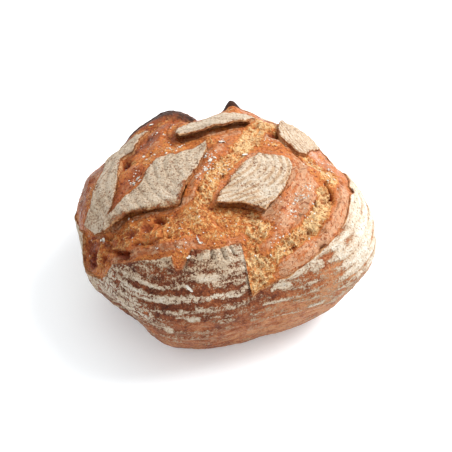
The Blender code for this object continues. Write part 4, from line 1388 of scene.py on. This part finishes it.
def crust_material(look):
    """Whole skin: red-brown crust under flour that gathers where its value is high, torn and burnt edges.

    Fine noises decide grain by grain whether flour or crust shows, so half a coat is a speckle of both.
    """
    made = Nodes("floured crust")
    soft = made.grain(0.0090, 4.0)
    mid = made.grain(0.0032, 4.0, 0.65)
    fine = made.grain(0.0009, 3.0, 0.7)
    grit = made.grain(0.00042, 2.0, 0.7)
    amount = made.value("flour")
    shade = made.value("shade")
    crust = made.colours(
        made.sum((mid, 0.45), (soft, 0.35), (fine, 0.45), (made.value("tan"), 0.55), (amount, 0.15), 0.24),
        *look.crust,
    )
    lines = made.step(made.cracks(0.0050), 0.020, 0.100, 1.0, 0.0)
    lines = made.times(lines, made.step(made.sum((soft, 1.0), (mid, 0.6)), -0.55, -0.10))
    cracked = made.times(lines, made.value("cracked"))
    cover_at = made.sum((amount, 1.0), (fine, 0.68), (grit, 0.62), (mid, 0.34), (cracked, -1.3))
    cover = made.step(cover_at, 0.42, 0.58)
    density = made.sum((amount, 0.90), (fine, 0.45), (grit, 0.34), (mid, 0.22), (soft, 0.12), -0.14)
    flour = made.colours(density, *look.flour)
    band = made.step(made.sum((made.value("band"), 1.0), (fine, 0.35), (mid, 0.30)), 0.25, 0.95, 0.0, 0.70)
    flour = made.mix(band, flour, look.band)
    flour = made.deepen(shade, flour, look.grey)
    specks = made.step(made.sum((made.grain(0.0008, 2.0, 0.6), 1.0), (shade, -0.12)), -0.20, -0.36, 0.0, 0.65)
    flour = made.mix(specks, flour, look.speck)
    colour = made.mix(cover, crust, flour)
    torn_colour = made.colours(made.sum((mid, 0.8), (fine, 0.5), 0.45), *look.torn)
    colour = made.mix(made.step(made.value("torn"), 0.35, 0.8), colour, torn_colour)
    # Burnt colour, also laid as painted shade in the skin's creases and where the shade strokes reach
    burnt = made.step(made.sum((made.value("burn_and_shade"), 1.0), (mid, 0.25), (fine, 0.2)), 0.20, 0.95)
    colour = made.mix(burnt, colour, look.burnt)
    relief = made.sum((fine, 0.55), (grit, 0.35), (mid, 0.35), (cover, 0.45), (cracked, -0.9), (specks, -0.3))
    made.feed(made.shader, {
        "Base Color": colour,
        "Roughness": made.step(cover, 0.0, 1.0, 0.46, 0.95),
        "Specular IOR Level": 0.15,
        "Normal": made.bump(relief, 0.0008),
    })
    return made.material


def bread_material(look):
    """Torn bread: smooth red-brown skin by the crust, and in the open a golden net of threads over pits."""
    made = Nodes("torn bread")
    soft = made.grain(0.0080, 4.0)
    mid = made.grain(0.0028, 4.0, 0.65, 0.6)
    fine = made.grain(0.0011, 3.0, 0.7)
    grit = made.grain(0.00060, 2.0, 0.7)
    tone = made.value("tone")
    open_share = made.step(made.sum((tone, 1.0), (soft, 0.25), (mid, 0.15)), 0.26, 0.56)
    wide = made.times(made.threads(0.0034, 0.15, 1.4), open_share)
    narrow = made.times(made.threads(0.0017, 0.17, 1.2), open_share)
    # The net's gaps: deeper orange crumb between the threads, with painted shade in its holes
    gaps_and_shade = made.times(made.step(made.grain(0.0015, 2.5, 0.6, 1.0), -0.04, -0.32), open_share)
    shown = made.sum(
        (tone, 1.0), (mid, 0.30), (fine, 0.32), (grit, 0.16), (soft, 0.14), (wide, 0.26), (narrow, 0.16),
        (open_share, -0.06),
    )
    colour = made.colours(shown, *look.bread)
    # Burnt marks and the strokes' painted shade
    burn_and_shade = made.value("burn_and_shade")
    # Baked mottling at random, and painted shade where the shade strokes reach
    baked_and_shaded_at = made.sum((soft, 0.7), (mid, 0.5), (open_share, -0.10), (burn_and_shade, 1.5))
    baked_and_shaded = made.step(baked_and_shaded_at, 0.05, 0.65, 0.0, 0.85)
    colour = made.deepen(baked_and_shaded, colour, look.baked_and_shaded)
    colour = made.deepen(made.sum((gaps_and_shade, 0.85)), colour, look.gap)
    # Painted shade in pits, grooves, cavities and below lifted plate edges
    pits = made.step(made.sum((made.value("pit_shade"), 1.0), (fine, 0.35), (mid, 0.2)), 0.10, 1.1, 0.0, 0.9)
    colour = made.deepen(pits, colour, look.pit_shade)
    # Painted shade in fine pores
    pore_shade = made.step(made.grain(0.00095, 2.0, 0.5, 0.8), -0.20, -0.36, 0.0, 0.85)
    colour = made.deepen(pore_shade, colour, look.pit_shade)
    dust = made.step(made.sum((grit, 0.8), (fine, 0.4), (soft, 0.35)), 0.50, 0.62, 0.0, 0.7)
    colour = made.mix(dust, colour, look.dust)
    # Burnt colour, also laid as dark painted shade where the shade strokes are strong
    burnt = made.step(made.sum((burn_and_shade, 1.0), (mid, 0.25), (fine, 0.2)), 0.45, 1.05)
    colour = made.mix(burnt, colour, look.burnt)
    relief = made.sum(
        (fine, 0.6), (mid, 0.4), (grit, 0.3), (pore_shade, -0.6), (wide, 0.7), (narrow, 0.4), (gaps_and_shade, -0.7),
    )
    made.feed(made.shader, {
        "Base Color": colour,
        "Roughness": made.step(open_share, 0.0, 1.0, 0.32, 0.55),
        "Specular IOR Level": 0.22,
        "Normal": made.bump(relief, 0.0007),
    })
    return made.material


def floor_material(look):
    """Plain pale floor, very faintly uneven, which glows a little so that shadows on it stay light."""
    made = Nodes("pale floor")
    uneven = made.sum((made.grain(0.08, 2.0), 1.0), 0.5)
    made.feed(made.shader, {
        "Base Color": made.colours(uneven, *look.floor),
        "Roughness": 0.9,
        "Specular IOR Level": 0.1,
        "Emission Color": (1.0, 1.0, 1.0, 1.0),
        "Emission Strength": look.floor_glow,
    })
    return made.material


# Settings


class Look:
    """Screen colours of the lit loaf, in 255ths, ramps with their positions."""

    crust = (
        (0.05, (88, 40, 23)), (0.30, (138, 70, 38)), (0.55, (190, 108, 62)), (0.85, (238, 170, 118)),
    )
    flour = (
        (0.05, (150, 116, 86)), (0.30, (204, 168, 134)), (0.58, (238, 215, 188)), (0.85, (246, 232, 211)),
        (1.00, (270, 262, 248)),
    )
    bread = (
        (0.00, (226, 170, 128)), (0.13, (214, 138, 88)), (0.28, (210, 118, 56)), (0.46, (232, 138, 62)),
        (0.72, (250, 180, 106)), (1.00, (270, 226, 164)),
    )
    torn = ((0.20, (158, 88, 48)), (0.50, (210, 140, 86)), (0.80, (238, 192, 140)))
    speck = (132, 96, 68)
    band = (216, 178, 138)
    burnt = (78, 44, 30)
    dust = (250, 236, 214)
    # Tints that darken a colour, as plain shares
    # Greys the flour where the shade value is high, painted shade on the front panel
    grey = (0.76, 0.68, 0.58)
    # Deeper orange crumb with painted shade in the net's gaps
    gap = (0.72, 0.35, 0.13)
    # Baked mottling, and painted shade on the shaded left
    baked_and_shaded = (0.58, 0.38, 0.24)
    # Painted shade in pits and pores
    pit_shade = (0.50, 0.21, 0.08)
    floor = ((0.0, (294, 299, 303)), (1.0, (296, 301, 305)))
    floor_glow = 0.24


class RoundLoafForm(bpy.types.PropertyGroup):
    """Sizes of the loaf's pieces."""

    tear_steps: bpy.props.IntProperty(
        name="Tear Steps", description="Cells along each side of the torn bread's grid", default=560
    )
    tear_blocks: bpy.props.IntProperty(
        name="Tear Blocks", description="Pieces along each side of the torn bread's grid", default=2
    )
    flank_columns: bpy.props.IntProperty(
        name="Flank Columns", description="Cells around the flank's skin", default=960
    )
    flank_rows: bpy.props.IntProperty(
        name="Flank Rows", description="Cells from the skin's lip down to the base", default=240
    )
    flank_blocks: bpy.props.IntProperty(
        name="Flank Blocks", description="Pieces around the flank's skin", default=4
    )
    plate_cell: bpy.props.FloatProperty(
        name="Plate Cell", description="Spacing of the plates' points", default=0.0006, unit="LENGTH"
    )
    plate_thickness: bpy.props.FloatProperty(
        name="Plate Thickness", description="Thickness of a lifted plate's edge", default=0.0015,
        unit="LENGTH",
    )
    ring_spacing: bpy.props.FloatProperty(
        name="Ring Spacing", description="Spacing of the basket's ridges", default=0.0085, unit="LENGTH"
    )
    ring_height: bpy.props.FloatProperty(
        name="Ring Height", description="Height of the basket's ridges on the flank", default=0.00045,
        unit="LENGTH",
    )
    plate_ring_height: bpy.props.FloatProperty(
        name="Plate Ring Height", description="Height of the basket's ridges on the plates",
        default=0.00040, unit="LENGTH",
    )
    lip: bpy.props.FloatProperty(
        name="Lip", description="Depth of the torn edge of the flank's skin", default=0.0030,
        unit="LENGTH",
    )
    crumb_size: bpy.props.FloatProperty(
        name="Crumb Size", description="Mean radius of a flour crumb", default=0.00052, unit="LENGTH"
    )
    crumb_amount: bpy.props.FloatProperty(
        name="Crumb Amount", description="How many flour crumbs lie on the tears", default=1.25
    )


class RoundLoafStage(bpy.types.PropertyGroup):
    """Camera and light."""

    lens: bpy.props.FloatProperty(name="Lens", description="Focal length in millimetres", default=111.8)
    distance: bpy.props.FloatProperty(
        name="Distance", description="From the camera to what it looks at", default=1.15, unit="LENGTH"
    )
    elevation: bpy.props.FloatProperty(
        name="Elevation", description="Height of the camera above the horizon", default=math.radians(40.0),
        subtype="ANGLE",
    )
    aim: bpy.props.FloatVectorProperty(
        name="Aim", description="Point that the camera looks at", default=(0.0023, 0.0016, 0.0550),
        subtype="TRANSLATION",
    )
    key_power: bpy.props.FloatProperty(
        name="Key Power", description="Power of the main light", default=21.5, subtype="POWER"
    )
    sky: bpy.props.FloatProperty(name="Sky", description="Strength of the even light around", default=1.0)


# Operators


class ROUNDLOAF_OT_tears(bpy.types.Operator):
    """Build the torn bread between the plates"""

    bl_idname = "roundloaf.tears"
    bl_label = "Torn Bread"

    def execute(self, context):
        sizes = context.scene.round_loaf_form
        build_tears(sizes.tear_steps, sizes.tear_blocks, bread_material(Look))
        return {"FINISHED"}


class ROUNDLOAF_OT_crust(bpy.types.Operator):
    """Build the flank's skin and the raised plates of crust"""

    bl_idname = "roundloaf.crust"
    bl_label = "Crust"

    def execute(self, context):
        sizes = context.scene.round_loaf_form
        material = crust_material(Look)
        build_flank(
            sizes.flank_columns, sizes.flank_rows, sizes.flank_blocks, sizes.ring_spacing,
            sizes.ring_height, sizes.lip, material,
        )
        for name, plate in PLATES.items():
            build_plate(
                name, plate, sizes.plate_cell, sizes.ring_spacing, sizes.plate_ring_height,
                sizes.plate_thickness, material,
            )
        return {"FINISHED"}


class ROUNDLOAF_OT_flour(bpy.types.Operator):
    """Build the flour crumbs and the loose flakes of skin"""

    bl_idname = "roundloaf.flour"
    bl_label = "Crumbs and Flakes"

    def execute(self, context):
        sizes = context.scene.round_loaf_form
        material = bpy.data.materials.get("floured crust")
        if material is None:
            raise RuntimeError("build the crust first")
        build_crumbs(sizes.crumb_size, sizes.crumb_amount, material)
        build_flakes(material)
        return {"FINISHED"}


def add_light(name, power, size, place, target):
    """Square soft light that faces a target."""
    data = bpy.data.lights.new(name, "AREA")
    data.energy = power
    data.size = size
    light = bpy.data.objects.new(name, data)
    bpy.context.scene.collection.objects.link(light)
    light.location = place
    light.rotation_euler = facing(place, target)


def facing(place, target):
    """Turn of a camera or light at a place so that it looks at a target with its top up."""
    ahead = np.array(target, dtype=float) - np.array(place, dtype=float)
    turn = math.atan2(-ahead[0], ahead[1])
    rise = math.atan2(ahead[2], math.hypot(ahead[0], ahead[1]))
    return (math.pi / 2 + rise, 0.0, turn)


class ROUNDLOAF_OT_stage(bpy.types.Operator):
    """Build the floor, the lights and the camera"""

    bl_idname = "roundloaf.stage"
    bl_label = "Stage"

    def execute(self, context):
        stage = context.scene.round_loaf_stage
        half = FLOOR_HALF_SIDE
        mesh = bpy.data.meshes.new("floor")
        corners = [(-half, -half, 0.0), (half, -half, 0.0), (half, half, 0.0), (-half, half, 0.0)]
        mesh.from_pydata(corners, [], [(0, 1, 2, 3)])
        mesh.materials.append(floor_material(Look))
        floor = bpy.data.objects.new("floor", mesh)
        context.scene.collection.objects.link(floor)
        add_light("key light", stage.key_power, KEY_SIZE, KEY_PLACE, KEY_TARGET)
        world = bpy.data.worlds.new("studio")
        world.use_nodes = True
        background = world.node_tree.nodes["Background"]
        background.inputs["Color"].default_value = (1.0, 1.0, 1.0, 1.0)
        background.inputs["Strength"].default_value = stage.sky
        context.scene.world = world
        context.scene.view_settings.view_transform = "Standard"
        data = bpy.data.cameras.new("camera")
        data.lens = stage.lens
        data.sensor_width = 36.0
        data.clip_start = 0.05
        camera = bpy.data.objects.new("camera", data)
        context.scene.collection.objects.link(camera)
        aim = np.array(stage.aim)
        back = np.array([0.0, -math.cos(stage.elevation), math.sin(stage.elevation)])
        camera.location = aim + back * stage.distance
        camera.rotation_euler = (math.pi / 2 - stage.elevation, 0.0, 0.0)
        context.scene.camera = camera
        return {"FINISHED"}


class ROUNDLOAF_PT_panel(bpy.types.Panel):
    """Buttons and settings of the round loaf"""

    bl_idname = "ROUNDLOAF_PT_panel"
    bl_label = "Round Loaf"
    bl_space_type = "VIEW_3D"
    bl_region_type = "UI"
    bl_category = "Round Loaf"

    def draw(self, context):
        layout = self.layout
        for group in (context.scene.round_loaf_form, context.scene.round_loaf_stage):
            box = layout.box()
            for key in group.bl_rna.properties.keys():
                if key not in ("rna_type", "name"):
                    box.prop(group, key)
        for operator in OPERATORS:
            layout.operator(operator.bl_idname)


OPERATORS = (ROUNDLOAF_OT_tears, ROUNDLOAF_OT_crust, ROUNDLOAF_OT_flour, ROUNDLOAF_OT_stage)
CLASSES = (RoundLoafForm, RoundLoafStage, *OPERATORS, ROUNDLOAF_PT_panel)


def register():
    for item in CLASSES:
        bpy.utils.register_class(item)
    bpy.types.Scene.round_loaf_form = bpy.props.PointerProperty(type=RoundLoafForm)
    bpy.types.Scene.round_loaf_stage = bpy.props.PointerProperty(type=RoundLoafStage)


def unregister():
    del bpy.types.Scene.round_loaf_stage
    del bpy.types.Scene.round_loaf_form
    for item in reversed(CLASSES):
        bpy.utils.unregister_class(item)


def main():
    register()
    bpy.ops.roundloaf.tears()
    bpy.ops.roundloaf.crust()
    bpy.ops.roundloaf.flour()
    bpy.ops.roundloaf.stage()


if __name__ == "__main__":
    main()
